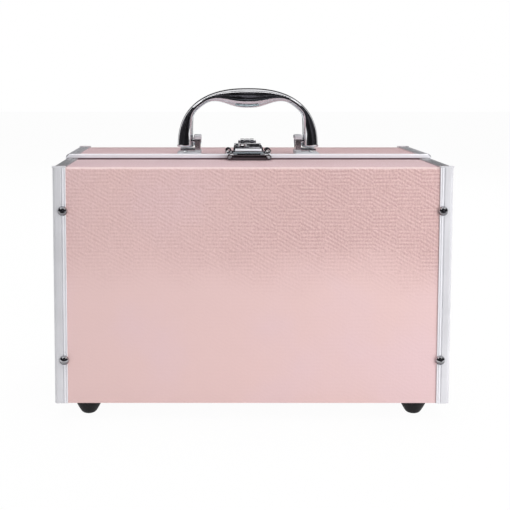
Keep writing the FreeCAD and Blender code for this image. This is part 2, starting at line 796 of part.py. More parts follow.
def half_bow():
    """Stations up the left half of the arch, whose outside follows a superellipse from the leg's foot.

    A leg's inner edge stands upright until the leg has narrowed to the shoulder's thickness.
    """
    half = value("handle_half")
    foot_z = -value("leg_tail")
    rise = value("handle_reach + leg_tail")
    shoulder = value("shoulder_place")
    thin = value("shoulder_thick")
    stations = []
    for index in range(ARCH_STATIONS):
        turn = math.pi / 2 * index / ARCH_STATIONS
        x = half * math.cos(turn) ** (2 / ARCH_POWER)
        z = rise * math.sin(turn) ** (2 / ARCH_POWER)
        inward_x = (x / half) ** (ARCH_POWER - 1) / half
        inward_z = -(z / rise) ** (ARCH_POWER - 1) / rise
        lean = math.atan2(inward_x, -inward_z)
        upright = (x - half + value("leg_width")) / math.sin(lean)
        thick = (upright + thin + math.hypot(upright - thin, value("leg_blend"))) / 2
        swell = 0
        if x < shoulder:
            swell = math.cos(math.pi / 2 * (x / shoulder) ** GRIP_POWER) ** 2
            thick += (value("grip_thick") - thin) * swell
        depth = value("leg_depth") + value("grip_depth - leg_depth") * swell
        centre_x = -x + math.sin(lean) * thick / 2
        centre_z = foot_z + z - math.cos(lean) * thick / 2
        stations.append((centre_x, centre_z, math.degrees(lean), thick, depth))
    return stations


def handle_bow():
    half = half_bow()
    middle = (0, value("handle_reach - grip_thick / 2"), 0, value("grip_thick"), value("grip_depth"))
    other = [(-x, z, -lean, thick, depth) for x, z, lean, thick, depth in reversed(half)]
    return Part.makeLoft([handle_section(*station) for station in half + [middle] + other], True, False)


bow = doc.addObject("Part::Feature", "bow")
bow.Shape = handle_bow()
leg_bore = rod(
    "leg_bore", "handle_pin_radius + fit", "handle_pin_length - lug_width + fit",
    ("bracket_inner + lug_width", "handle_place", "pivot_z"), "+x",
)
keep(cut("handle_cut", bow, [both_sides("leg_bores", leg_bore)]), "handle")


# Latch: base with two ears, lever on a cross pin, lock cylinder in the lever

latch_plate = box(
    "latch_plate", ("-latch_width / 2", "latch_width / 2"), ("plate_y", "latch_back"),
    ("lid_top", "latch_base_top"),
)
roll_start = ("latch_width / 2 - roll_radius", "plate_y", "lid_top + roll_radius")
roll = rod("roll", "roll_radius", "roll_length", roll_start, "+y")
roll_bore = rod("roll_bore_tool", "roll_bore", "roll_length", roll_start, "+y")
rolls = both_sides("rolls", cut("roll_tube", roll, [roll_bore]))
ear_y = ("latch_pivot_place - ear_radius", "latch_pivot_place + ear_radius")
ear_post = box("ear_post", ("ear_inner", "ear_outer"), ear_y, ("lid_top + latch_base / 2", "latch_pivot_z"))
ear_eye = rod(
    "ear_eye", "ear_radius", "ear_outer - ear_inner",
    ("ear_inner", "latch_pivot_place", "latch_pivot_z"), "+x",
)
ears = both_sides("ears", fuse("ear", [ear_post, ear_eye]))
pin_start = ("-latch_pin_half", "latch_pivot_place", "latch_pivot_z")
pin_length = "2 * latch_pin_half"
ear_bore = rod("ear_bore", "latch_pin_radius + fit", pin_length, pin_start, "+x")
keep(cut("latch_base_cut", fuse("latch_base_solid", [latch_plate, rolls, ears]), [ear_bore]), "latch_base")
keep(rod("latch_cross_pin", "latch_pin_radius", pin_length, pin_start, "+x"), "latch_pin")
latch_rivet_set = []
latch_spots = ("latch_back - plate_rivet_inset", "latch_back - plate_rivet_inset - latch_rivet_step")
for index, spot in enumerate(latch_spots):
    latch_rivet_set.append(dome(
        "latch_rivet_%d" % index, "latch_rivet_radius", "latch_rivet_dome",
        ("latch_width / 2 - plate_rivet_radius", spot, "latch_base_top"), "+z",
    ))
keep(both_sides("latch_rivet_pairs", group("latch_rivet_pair", latch_rivet_set)), "latch_rivets")

lever_outline = [
    ("lever_front", "latch_base_top + lever_clear"),
    ("lever_back", "latch_base_top + lever_clear"),
    ("lever_back", "lid_top + lever_back_rise"),
    ("lever_front", "lid_top + lever_front_rise"),
]
lever_side = profile(
    "lever_side", "YZ_Plane", lever_outline, "-lever_front_width / 2", "lever_front_width / 2")
lever_plan = [
    ("-lever_front_width / 2", "lever_front"),
    ("lever_front_width / 2", "lever_front"),
    ("lever_back_width / 2", "lever_back"),
    ("-lever_back_width / 2", "lever_back"),
]
lever_taper = profile("lever_taper", "XY_Plane", lever_plan, "lid_top", "lid_top + lever_back_rise")
lever_wedge = doc.addObject("Part::Common", "lever_wedge")
lever_wedge.Base = lever_side
lever_wedge.Tool = lever_taper
neck_half = "ear_inner - lever_clear"
neck = box(
    "neck", ("-(%s)" % neck_half, neck_half), ("lever_back - lever_clear", "latch_pivot_place"),
    ("latch_pivot_z - ear_radius", "latch_pivot_z"),
)
barrel = rod(
    "barrel", "ear_radius", "2 * (%s)" % neck_half,
    ("-(%s)" % neck_half, "latch_pivot_place", "latch_pivot_z"), "+x",
)
lever_bore = rod("lever_bore", "latch_pin_radius + fit", pin_length, pin_start, "+x")
lock_low = "latch_base_top + 2 * lever_clear"
lock_seat = rod(
    "lock_seat", "lock_radius + fit", "lever_back_rise * 2", ("-lock_side", "lock_place", lock_low), "+z")
lever_solid = fuse("lever_solid", [lever_wedge, neck, barrel])
keep(cut("lever_cut", lever_solid, [lever_bore, lock_seat]), "latch_lever")
lock_slope = "(lever_back_rise - lever_front_rise) / (lever_back - lever_front)"
lock_high = "lid_top + lever_front_rise + lock_proud + (lock_place - lever_front) * " + lock_slope
lock_barrel = rod(
    "lock_barrel", "lock_radius", "%s - (%s)" % (lock_high, lock_low),
    ("-lock_side", "lock_place", lock_low), "+z",
)
key_slot = box(
    "key_slot_cut", ("-lock_side - key_slot / 2", "key_slot / 2 - lock_side"),
    ("lock_place - key_slot_half", "lock_place + key_slot_half"),
    ("%s - 2 * key_slot" % lock_high, "%s + key_slot" % lock_high),
)
keep(cut("lock", lock_barrel, [key_slot]), "lock_cylinder")


# Trays, lid arms and links, modelled on the front side

def tray_set(name, axis_z, under, inset, back):
    """One tray with its pins, the two arms on the half lid, the two links and their fixed pins."""
    arm_z = "(%s - crank_drop)" % axis_z
    ground_z = "(%s - pivot_step_down)" % axis_z
    link_z = "(%s - pivot_step_down)" % arm_z
    front = "(%s - axis_y)" % inset
    outside = box(name + "_outside", ("-tray_x", "tray_x"), (front, back), ("tray_base", "tray_rim"))
    ear_low = box(
        name + "_ear_post", ("tray_x - tray_wall", "tray_x"),
        ("-arm_pivot_y - tray_ear", "tray_ear - arm_pivot_y"), ("tray_base", arm_z),
    )
    ear_top = rod(
        name + "_ear_eye", "tray_ear", "tray_wall", ("tray_x - tray_wall", "-arm_pivot_y", arm_z), "+x")
    bays = []
    for place in range(3):
        low = "(2 * tray_x - tray_wall) * %d / 3 - tray_x + tray_wall" % place
        high = "(2 * tray_x - tray_wall) * %d / 3 - tray_x" % (place + 1)
        bays.append(box(
            "%s_bay_%d" % (name, place), (low, high), (front + " + tray_wall", back + " - tray_wall"),
            ("tray_base + tray_wall", "tray_rim + tray_wall"),
        ))
    hollow = cut(name + "_hollow", outside, bays)
    pin_spots = (("arm", "-arm_pivot_y", arm_z), ("link", "-link_tray_y", link_z))
    bores = []
    pins = []
    for kind, spot_y, spot_z in pin_spots:
        start = ("tray_x - tray_wall", spot_y, spot_z)
        bores.append(rod("%s_%s_bore" % (name, kind), "arm_pin_radius + fit", "tray_wall * 2", start, "+x"))
        stem_length = "arm_out_x + fit - tray_x + tray_wall"
        stem = rod("%s_%s_stem" % (name, kind), "arm_pin_radius", stem_length, start, "+x")
        head = rod(
            "%s_%s_head" % (name, kind), "arm_pin_head", "arm_pin_head_thick",
            ("arm_out_x + fit", spot_y, spot_z), "+x",
        )
        pins.append(fuse("%s_%s_pin" % (name, kind), [stem, head]))
    ears = both_sides(name + "_ears", fuse(name + "_ear", [ear_low, ear_top]))
    tray = cut(
        name + "_cut", fuse(name + "_solid", [hollow, ears]),
        [both_sides(name + "_bores", group(name + "_bore_pair", bores))],
    )
    tray_pins = both_sides(name + "_pins", group(name + "_pin_pair", pins))

    arm_x = ("arm_x", "arm_out_x")
    arm_foot = ("-arm_pivot_y - arm_foot / 2", "arm_foot / 2 - arm_pivot_y")
    arm_flange = box(
        name + "_flange", ("arm_x - arm_flange", "arm_out_x"), arm_foot, (under + " - arm_thick", under))
    arm_plate = box(
        name + "_plate", arm_x, ("-arm_pivot_y - arm_half", "arm_half - arm_pivot_y"), (arm_z, under))
    arm_eye = rod(name + "_arm_eye", "arm_half", "arm_thick", ("arm_x", "-arm_pivot_y", arm_z), "+x")
    arm_bore = rod(
        name + "_arm_hole", "arm_pin_radius + fit", "arm_thick * 3",
        ("arm_x - arm_thick", "-arm_pivot_y", arm_z), "+x",
    )
    arm = cut(name + "_arm", fuse(name + "_arm_solid", [arm_flange, arm_plate, arm_eye]), [arm_bore])

    link_bar = doc.addObject("Part::Box", name + "_bar")
    link_bar.setExpression("Length", bound("arm_thick"))
    link_bar.setExpression("Width", bound("crank"))
    link_bar.setExpression("Height", bound("2 * arm_half"))
    link_bar.Placement = FreeCAD.Placement(FreeCAD.Vector(), FreeCAD.Rotation(FreeCAD.Vector(1, 0, 0), 0))
    link_bar.setExpression("Placement.Rotation.Angle", bound("-asin(crank_drop / crank)"))
    link_bar.setExpression("Placement.Base.x", bound("arm_x"))
    link_bar.setExpression("Placement.Base.y", bound("-link_ground_y - arm_half * crank_drop / crank"))
    link_bar.setExpression("Placement.Base.z", bound(ground_z + " - arm_half * crank_run / crank"))
    link_parts = [link_bar]
    link_holes = []
    for kind, spot_y, spot_z in (("ground", "-link_ground_y", ground_z), ("tray", "-link_tray_y", link_z)):
        link_parts.append(rod(
            "%s_%s_eye" % (name, kind), "arm_half", "arm_thick", ("arm_x", spot_y, spot_z), "+x"))
        link_holes.append(rod(
            "%s_%s_hole" % (name, kind), "arm_pin_radius + fit", "arm_thick * 3",
            ("arm_x - arm_thick", spot_y, spot_z), "+x",
        ))
    link = cut(name + "_link", fuse(name + "_link_solid", link_parts), link_holes)

    ground_start = ("arm_x - fit", "-link_ground_y", ground_z)
    ground_stem = rod(
        name + "_ground_stem", "arm_pin_radius", "wall_pin_end - arm_x", ground_start, "+x")
    ground_head = rod(name + "_ground_head", "arm_pin_head", "arm_pin_head_thick", ground_start, "-x")
    ground_pin = fuse(name + "_ground_pin", [ground_stem, ground_head])
    return tray, tray_pins, both_sides(name + "_arms", arm), both_sides(name + "_links", link), ground_pin


TRAY_NODES = ("tray", "tray_pins", "tray_lid_arms", "tray_links")
front_set = tray_set("flap_side_tray", "flap_axis_z", "flap_under", "flap_tray_inset", "flap_tray_back")
for label, made in zip(TRAY_NODES, front_set):
    keep(made, "front_" + label)
rear_set = tray_set("lid_side_tray", "lid_axis_z", "lid_under", "lid_tray_inset", "(-lid_tray_front)")
for label, made in zip(TRAY_NODES, rear_set):
    keep(mirror("rear_" + label + "_turned", made, "y"), "rear_" + label)
wall_pins = group("wall_pins", [front_set[-1], mirror("rear_wall_pin", rear_set[-1], "y")])
keep(both_sides("wall_pin_set", wall_pins), "link_wall_pins")


# Recompute, check every object, then write one file for each node

doc.recompute()
for item in doc.Objects:
    if "Invalid" in item.State or "Error" in item.State:
        raise RuntimeError("failed object: " + item.Label)
for node in nodes:
    if node.Shape.isNull() or not node.Shape.isValid() or not node.Shape.Solids:
        raise RuntimeError("bad shape: " + node.Label)
os.makedirs("parts", exist_ok=True)
for node in nodes:
    node.Shape.exportStep(os.path.join("parts", node.Label + ".step"))
print(len(nodes), "nodes written")
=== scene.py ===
import math

import bmesh
import bpy
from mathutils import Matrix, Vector


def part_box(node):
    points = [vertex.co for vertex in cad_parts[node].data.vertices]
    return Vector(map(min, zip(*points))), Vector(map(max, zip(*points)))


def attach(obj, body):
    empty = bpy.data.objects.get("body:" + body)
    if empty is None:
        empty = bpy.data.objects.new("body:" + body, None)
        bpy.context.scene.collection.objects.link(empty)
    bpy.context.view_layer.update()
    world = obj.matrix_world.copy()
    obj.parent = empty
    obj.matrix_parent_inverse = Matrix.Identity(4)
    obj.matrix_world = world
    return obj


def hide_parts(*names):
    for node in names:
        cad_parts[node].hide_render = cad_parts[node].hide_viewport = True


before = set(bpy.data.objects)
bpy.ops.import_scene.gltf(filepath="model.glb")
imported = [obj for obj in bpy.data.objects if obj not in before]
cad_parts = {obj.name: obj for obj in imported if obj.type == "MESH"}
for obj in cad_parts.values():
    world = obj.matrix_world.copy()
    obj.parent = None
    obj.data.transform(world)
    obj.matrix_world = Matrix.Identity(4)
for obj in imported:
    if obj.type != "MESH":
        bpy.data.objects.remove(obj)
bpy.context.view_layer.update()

# Looks of a pink makeup train case. Shapes are worked out in millimetres, in the frame of the CAD part:
# +Z up, front towards -Y, +X to the right. A finished piece is scaled to metres.

MM = 0.001


def corners(node):
    """Lowest and highest corner of a CAD node, in millimetres."""
    low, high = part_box(node)
    return low / MM, high / MM


# Shapes

AXES = {"x": (1, 2, 0), "y": (0, 2, 1), "z": (0, 1, 2)}
ROD_BEND = 0.3


def place(axis, across, along, depth):
    """A point given in the plane square to an axis, and its depth along that axis."""
    point = Vector()
    for index, number in zip(AXES[axis], (across, along, depth)):
        point[index] = number
    return point


def add_loft(shape, rings):
    """A closed skin over rings with equal numbers of points, capped at both ends."""
    loops = [[shape.verts.new(point) for point in ring] for ring in rings]
    count = len(loops[0])
    for near, far in zip(loops, loops[1:]):
        for index in range(count):
            after = (index + 1) % count
            shape.faces.new((near[index], near[after], far[after], far[index]))
    shape.faces.new(loops[0][::-1])
    shape.faces.new(loops[-1])
    return [vert for loop in loops for vert in loop]


def add_prism(shape, outline, axis, low, high):
    """An outline in the plane square to an axis, drawn out between two depths."""
    return add_loft(shape, [[place(axis, a, b, end) for a, b in outline] for end in (low, high)])


def soften(shape, verts, width, segments=3):
    """Round every edge between the given points."""
    edges = list(dict.fromkeys(edge for vert in verts for edge in vert.link_edges))
    bmesh.ops.bevel(
        shape, geom=edges, offset=width, segments=segments, profile=0.5,
        affect="EDGES", clamp_overlap=True,
    )


def add_box(shape, low, high):
    """A box between two corners."""
    outline = [(low[0], low[1]), (high[0], low[1]), (high[0], high[1]), (low[0], high[1])]
    return add_prism(shape, outline, "z", low[2], high[2])


def add_block(shape, low, high, rounding):
    """A box between two corners with rounded edges."""
    soften(shape, add_box(shape, low, high), rounding)


def add_turned(shape, steps, centre, axis="z", count=48):
    """A body turned about an axis through a centre; steps are pairs of radius and place along the axis."""
    rings = []
    for radius, rise in steps:
        ring = []
        for index in range(count):
            turn = 2 * math.pi * index / count
            ring.append(Vector(centre) + place(axis, radius * math.cos(turn), radius * math.sin(turn), rise))
        rings.append(ring)
    add_loft(shape, rings)


def rod_steps(radius, low, high, rounding):
    """Steps of a round bar with softened ends."""
    bend = ROD_BEND * rounding
    return [
        (radius - rounding, low), (radius - bend, low + bend), (radius, low + rounding),
        (radius, high - rounding), (radius - bend, high - bend), (radius - rounding, high),
    ]


def arc(centre, radius, start, end, count):
    """Points on an arc, with its angles in degrees."""
    points = []
    for index in range(count + 1):
        turn = math.radians(start + (end - start) * index / count)
        points.append((centre[0] + radius * math.cos(turn), centre[1] + radius * math.sin(turn)))
    return points


def strip_outline(path, thick):
    """The outline of a bent strip of sheet metal that follows a path."""
    left, right = [], []
    for index, (a, b) in enumerate(path):
        before = path[max(index - 1, 0)]
        after = path[min(index + 1, len(path) - 1)]
        run = Vector((after[0] - before[0], after[1] - before[1])).normalized() * (thick / 2)
        left.append((a - run.y, b + run.x))
        right.append((a + run.y, b - run.x))
    return left + right[::-1]


def slice_off(shape, point, normal):
    """Cut away what lies beyond a plane and close the cut."""
    everything = shape.verts[:] + shape.edges[:] + shape.faces[:]
    made = bmesh.ops.bisect_plane(shape, geom=everything, plane_co=point, plane_no=normal, clear_outer=True)
    rim = [item for item in made["geom_cut"] if isinstance(item, bmesh.types.BMEdge)]
    bmesh.ops.edgeloop_fill(shape, edges=rim)


def mirrored(shape, axis):
    """Add the mirror image of everything in a shape across the middle plane of the frame."""
    copied = bmesh.ops.duplicate(shape, geom=shape.verts[:] + shape.edges[:] + shape.faces[:])
    verts = [item for item in copied["geom"] if isinstance(item, bmesh.types.BMVert)]
    faces = [item for item in copied["geom"] if isinstance(item, bmesh.types.BMFace)]
    for vert in verts:
        vert.co["xyz".index(axis)] *= -1
    bmesh.ops.reverse_faces(shape, faces=faces)


def reflect(shape, axis):
    """Turn a shape into its mirror image across the middle plane of the frame."""
    for vert in shape.verts:
        vert.co["xyz".index(axis)] *= -1
    bmesh.ops.reverse_faces(shape, faces=shape.faces[:])


def add_object(name, shape):
    """Make an object in metres from a shape in millimetres, and use the shape up."""
    bmesh.ops.recalc_face_normals(shape, faces=shape.faces[:])
    bmesh.ops.scale(shape, vec=(MM, MM, MM), verts=shape.verts[:])
    mesh = bpy.data.meshes.new(name)
    shape.to_mesh(mesh)
    shape.free()
    made = bpy.data.objects.new(name, mesh)
    bpy.context.scene.collection.objects.link(made)
    return made


def finish_piece(name, shape, body, material, nodes=(), sharp=32):
    """Make one piece from a shape, give it its finish and let it ride on a body.

    Edges that turn by more than the sharp angle, in degrees, stay crisp.
    """
    piece = add_object(name, shape)
    mesh = piece.data
    mesh.polygons.foreach_set("use_smooth", [True] * len(mesh.polygons))
    mesh.set_sharp_from_angle(angle=math.radians(sharp))
    mesh.materials.append(material)
    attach(piece, body)
    if nodes:
        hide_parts(*nodes)
    return piece


def carve(piece, boxes):
    """Cut boxes, given by their corners in millimetres, out of a piece."""
    shape = bmesh.new()
    for low, high in boxes:
        add_box(shape, low, high)
    tool = add_object("carving", shape)
    step = piece.modifiers.new("carve", "BOOLEAN")
    step.operation = "DIFFERENCE"
    step.object = tool
    step.solver = "EXACT"
    bpy.context.view_layer.update()
    result = piece.evaluated_get(bpy.context.evaluated_depsgraph_get())
    carved = bpy.data.meshes.new_from_object(result)
    piece.modifiers.clear()
    piece.data = carved
    bpy.data.objects.remove(tool)


# Materials

class Finish:
    """A node material with short words for its nodes."""

    def __init__(self, name, colour, roughness, metallic=0.0):
        self.material = bpy.data.materials.new(name)
        self.material.use_nodes = True
        self.tree = self.material.node_tree
        self.shader = self.tree.nodes["Principled BSDF"]
        self.shader.inputs["Base Color"].default_value = (*colour, 1)
        self.shader.inputs["Roughness"].default_value = roughness
        self.shader.inputs["Metallic"].default_value = metallic
        self.place = self.tree.nodes.new("ShaderNodeTexCoord").outputs["Object"]
        self.parts = self.tree.nodes.new("ShaderNodeSeparateXYZ").outputs
        self.tree.links.new(self.place, self.parts[0].node.inputs[0])

    def feed(self, socket, source):
        """Link a node's output to a socket, or set the socket to a plain number or colour."""
        if isinstance(source, bpy.types.NodeSocket):
            self.tree.links.new(source, socket)
        else:
            socket.default_value = source

    def along(self, axis):
        """The place along one axis of the frame, in metres."""
        return self.parts[axis.upper()]

    def sum(self, operation, first, second=0.0, third=0.0):
        """The result of one arithmetic operation."""
        made = self.tree.nodes.new("ShaderNodeMath")
        made.operation = operation
        for socket, source in zip(made.inputs, (first, second, third)):
            self.feed(socket, source)
        return made.outputs[0]

    def noise(self, scale, detail=3.0, stretch=(1, 1, 1), roughness=0.5):
        """Soft noise, whose scale is in waves per metre."""
        grid = self.tree.nodes.new("ShaderNodeMapping")
        grid.inputs["Scale"].default_value = stretch
        self.feed(grid.inputs["Vector"], self.place)
        made = self.tree.nodes.new("ShaderNodeTexNoise")
        self.feed(made.inputs["Vector"], grid.outputs[0])
        made.inputs["Scale"].default_value = scale
        made.inputs["Detail"].default_value = detail
        made.inputs["Roughness"].default_value = roughness
        return made.outputs["Fac"]

    def span(self, source, low, high, new_low, new_high):
        """Move a value smoothly from one span of numbers to another."""
        made = self.tree.nodes.new("ShaderNodeMapRange")
        made.interpolation_type = "SMOOTHSTEP"
        self.feed(made.inputs["Value"], source)
        limits = {"From Min": low, "From Max": high, "To Min": new_low, "To Max": new_high}
        for word, number in limits.items():
            made.inputs[word].default_value = number
        return made.outputs[0]

    def blend(self, share, first, second):
        """A colour between two colours."""
        made = self.tree.nodes.new("ShaderNodeMix")
        made.data_type = "RGBA"
        sockets = [socket for socket in made.inputs if socket.type == "RGBA"]
        self.feed(made.inputs["Factor"], share)
        for socket, source in zip(sockets, (first, second)):
            self.feed(socket, source if isinstance(source, bpy.types.NodeSocket) else (*source, 1))
        return [socket for socket in made.outputs if socket.type == "RGBA"][0]

    def bump(self, height, distance, strength):
        """Raise the surface by a height between 0 and 1, times a distance in metres."""
        made = self.tree.nodes.new("ShaderNodeBump")
        made.inputs["Strength"].default_value = strength
        made.inputs["Distance"].default_value = distance
        self.feed(made.inputs["Height"], height)
        self.feed(self.shader.inputs["Normal"], made.outputs[0])

    def set(self, word, source):
        """Feed one of the shader's own sockets."""
        self.feed(self.shader.inputs[word], source)


SKIN_LIGHT = (0.735, 0.522, 0.508)
# Colour of the painted shade in the grooves of the emboss
SKIN_PAINTED_SHADE = (0.555, 0.350, 0.342)
SKIN_LILAC = (0.715, 0.528, 0.570)
# Colour of the painted highlight along an edge that the skin turns over
SKIN_EDGE_HIGHLIGHT = (0.92, 0.77, 0.76)
BLOCK_WIDE = 0.0180
BLOCK_TALL = 0.0162
RIB_PITCH = 0.00276
RIB_LEAN = math.radians(30)
STUD_PITCH = 0.0024
STUD_SHARE = 0.45
STUD_STRAY = 0.006
BLOCK_WAVER = 0.0012
FADE_WAVER = 0.05
GRAIN_SWING = 3.6
FINE_SHARE = 0.25
LILAC_DRIFT = 0.5
RIB_SHADE = 0.38
DEPTH_SHADE = 0.60
HIGHLIGHT_START = 0.0013
HIGHLIGHT_END = 0.0003
EMBOSS_HIGH = 0.00014


def embossed_skin(name, across, along, fade_low, fade_high, least, lilac, edge=1.0):
    """Pearl pink skin, embossed with a chequer of level and slanting beaded ribs.

    The ribs fade to their least depth from the high to the low place along the sheet. A painted shade
    darkens the grooves between the ribs and the places where they run deep. Lilac is the least share
    of the lilac tint, which drifts up to a half where it starts lower. A painted highlight makes the
    skin paler where it turns over the edge, a place along the sheet.
    """
    finish = Finish(name, SKIN_LIGHT, 0.42)
    waver = finish.sum("MULTIPLY_ADD", finish.noise(90, 2), BLOCK_WAVER, -BLOCK_WAVER / 2)
    u = finish.sum("ADD", finish.along(across), waver)
    v = finish.sum("ADD", finish.along(along), waver)
    column = finish.sum("FLOOR", finish.sum("DIVIDE", u, BLOCK_WIDE))
    row = finish.sum("FLOOR", finish.sum("DIVIDE", v, BLOCK_TALL))
    odd = finish.sum("FLOORED_MODULO", finish.sum("ADD", column, row), 2)
    level = finish.sum("SINE", finish.sum("MULTIPLY", v, 2 * math.pi / RIB_PITCH))
    slant_v = finish.sum("MULTIPLY", v, math.cos(RIB_LEAN))
    slant = finish.sum("MULTIPLY_ADD", u, math.sin(RIB_LEAN), slant_v)
    leaning = finish.sum("SINE", finish.sum("MULTIPLY", slant, 2 * math.pi / RIB_PITCH))
    apart = finish.sum("SUBTRACT", leaning, level)
    ribs = finish.sum("MULTIPLY_ADD", odd, apart, level)
    beads = finish.span(finish.noise(560, 3, roughness=0.6), 0.36, 0.64, 0.1, 1.4)
    jitter = finish.sum("MULTIPLY_ADD", finish.noise(260, 2), STUD_STRAY, u)
    studs = finish.sum("SINE", finish.sum("MULTIPLY", jitter, 2 * math.pi / STUD_PITCH))
    beaded = finish.sum("MULTIPLY_ADD", studs, STUD_SHARE, finish.sum("MULTIPLY", ribs, beads))
    cloud = finish.sum("MULTIPLY_ADD", finish.noise(14, 2), FADE_WAVER, -FADE_WAVER / 2)
    down = finish.span(finish.sum("ADD", finish.along(along), cloud), fade_low, fade_high, least, 1.0)
    sideways = finish.span(finish.along(across), -0.07, 0.06, 0.6, 1.0)
    depth = finish.sum("MULTIPLY", down, sideways)
    speckle = finish.noise(1150, 4, roughness=0.65)
    grain = finish.sum("MULTIPLY_ADD", speckle, GRAIN_SWING, -GRAIN_SWING / 2)
    raised = finish.sum("MULTIPLY", finish.sum("ADD", beaded, grain), depth)
    fine = finish.noise(1900, 3)
    height = finish.sum("MULTIPLY_ADD", fine, FINE_SHARE, raised)
    drift = finish.span(finish.noise(11, 3), 0.45, 0.72, lilac, max(lilac, LILAC_DRIFT))
    tint = finish.blend(drift, SKIN_LIGHT, SKIN_LILAC)
    # Painted shade: the skin darkens in the grooves between the ribs and where the ribs run deep
    painted_rib_shade = finish.sum("MULTIPLY_ADD", raised, -RIB_SHADE, finish.sum("MULTIPLY", depth, DEPTH_SHADE))
    # Painted highlight: a paler band along the edge where the skin turns over
    painted_edge_highlight = finish.span(finish.along(along), edge - HIGHLIGHT_START, edge - HIGHLIGHT_END, 0, 0.65)
    finish.set("Base Color", finish.blend(painted_edge_highlight, finish.blend(painted_rib_shade, tint, SKIN_PAINTED_SHADE), SKIN_EDGE_HIGHLIGHT))
    finish.set("Roughness", finish.sum("MULTIPLY_ADD", height, -0.05, 0.43))
    finish.shader.inputs["Sheen Weight"].default_value = 0.10
    finish.shader.inputs["Sheen Roughness"].default_value = 0.4
    finish.shader.inputs["Coat Weight"].default_value = 0.12
    finish.shader.inputs["Coat Roughness"].default_value = 0.35
    finish.bump(height, EMBOSS_HIGH, 0.8)
    return finish.material


SCRATCH_HIGH = 0.00003
LINE_STRETCH = 0.012
COOL_CAST = 1.05


def drawn_aluminium(name, along, bright, dull, metallic):
    """Satin anodised aluminium with fine draw lines along one axis and a few dull patches."""
    finish = Finish(name, (bright, bright, bright), 0.34, metallic)
    stretch = [1.0, 1.0, 1.0]
    stretch["xyz".index(along)] = LINE_STRETCH
    lines = finish.noise(2600, 2, stretch)
    patches = finish.noise(35, 3)
    light = (bright, bright, COOL_CAST * bright)
    grey = (dull, dull, COOL_CAST * dull)
    clouded = finish.blend(finish.span(patches, 0.40, 0.75, 0, 0.7), light, grey)
    finish.set("Base Color", finish.blend(finish.span(lines, 0.3, 0.7, 0, 0.4), clouded, grey))
    finish.set("Roughness", finish.sum("MULTIPLY_ADD", patches, 0.16, 0.26))
    finish.bump(lines, SCRATCH_HIGH, 0.5)
    return finish.material


# Underside tints of plated metal: a cool painted reflection, and a painted shade for the rivets
UNDERSIDE_PAINTED_COOL = (0.87, 1.03, 1.05)
UNDERSIDE_PAINTED_SHADE = (0.46, 0.455, 0.46)
WORN_SHARE = 0.82


def polished_metal(name, colour, roughness, smear, underside=UNDERSIDE_PAINTED_COOL):
    """Bright plated metal with faint smears and handling marks, and painted shade and reflection on its
    underside.
    """
    finish = Finish(name, colour, roughness, 1.0)
    faces = finish.tree.nodes.new("ShaderNodeSeparateXYZ")
    finish.feed(faces.inputs[0], finish.place.node.outputs["Normal"])
    # Painted shade and reflection: faces turned downwards take the underside tint
    under = finish.span(faces.outputs["Z"], -0.35, 0.05, 1, 0)
    marks = finish.noise(48, 5, (1, 1, 0.6), 0.6)
    fine = finish.noise(900, 3)
    worn = finish.span(marks, 0.48, 0.78, 0, 1)
    darker = tuple(WORN_SHARE * part for part in colour)
    painted_underside_colour = tuple(share * part for share, part in zip(underside, colour))
    finish.set("Base Color", finish.blend(under, finish.blend(worn, colour, darker), painted_underside_colour))
    finish.set("Roughness", finish.sum("MULTIPLY_ADD", worn, smear, roughness))
    finish.bump(finish.sum("MULTIPLY_ADD", fine, 0.06, marks), SCRATCH_HIGH, 0.2)
    return finish.material


def brushed_steel(name):
    """Plain zinc-plated steel, brushed and a little cloudy."""
    finish = Finish(name, (0.56, 0.56, 0.58), 0.34, 1.0)
    lines = finish.noise(1800, 2, (0.03, 1, 1))
    cloud = finish.noise(60, 4)
    dulled = finish.span(cloud, 0.35, 0.7, 0, 1)
    finish.set("Base Color", finish.blend(dulled, (0.60, 0.60, 0.62), (0.46, 0.46, 0.47)))
    finish.set("Roughness", finish.sum("MULTIPLY_ADD", cloud, 0.22, 0.24))
    finish.bump(lines, SCRATCH_HIGH, 0.5)
    return finish.material


def moulded(name, colour, worn_colour, roughness, grain_scale, grain_depth, gloss=0.5):
    """Moulded rubber or plastic with a fine grain and lighter scuffs."""
    finish = Finish(name, colour, roughness)
    grain = finish.noise(grain_scale, 4, roughness=0.6)
    scuff = finish.span(finish.noise(70, 5, roughness=0.7), 0.55, 0.8, 0, 0.6)
    finish.set("Base Color", finish.blend(scuff, colour, worn_colour))
    finish.set("Roughness", finish.sum("MULTIPLY_ADD", scuff, 0.18, roughness))
    finish.shader.inputs["Specular IOR Level"].default_value = gloss
    finish.bump(grain, grain_depth, 0.7)
    return finish.material


def flocked(name):
    """Dark flocked lining with a soft nap."""
    finish = Finish(name, (0.022, 0.020, 0.022), 0.95)
    nap = finish.noise(60, 4, roughness=0.6)
    tufts = finish.noise(1500, 3, roughness=0.7)
    brushed = finish.span(nap, 0.35, 0.7, 0, 1)
    finish.set("Base Color", finish.blend(brushed, (0.016, 0.015, 0.017), (0.045, 0.041, 0.044)))
    finish.set("Roughness", finish.sum("MULTIPLY_ADD", tufts, 0.15, 0.8))
    finish.shader.inputs["Sheen Weight"].default_value = 0.45
    finish.shader.inputs["Sheen Roughness"].default_value = 0.5
    finish.bump(tufts, 0.0003, 0.8)
    return finish.material


def silvered_glass(name):
    """A mirror with a faint haze and a few wiping marks."""
    finish = Finish(name, (0.86, 0.88, 0.88), 0.02, 1.0)
    wipe = finish.noise(30, 5, (0.35, 1, 1), 0.65)
    haze = finish.span(wipe, 0.5, 0.85, 0, 1)
    finish.set("Base Color", finish.blend(haze, (0.87, 0.89, 0.89), (0.78, 0.80, 0.81)))
    finish.set("Roughness", finish.sum("MULTIPLY_ADD", haze, 0.07, 0.015))
    return finish.material


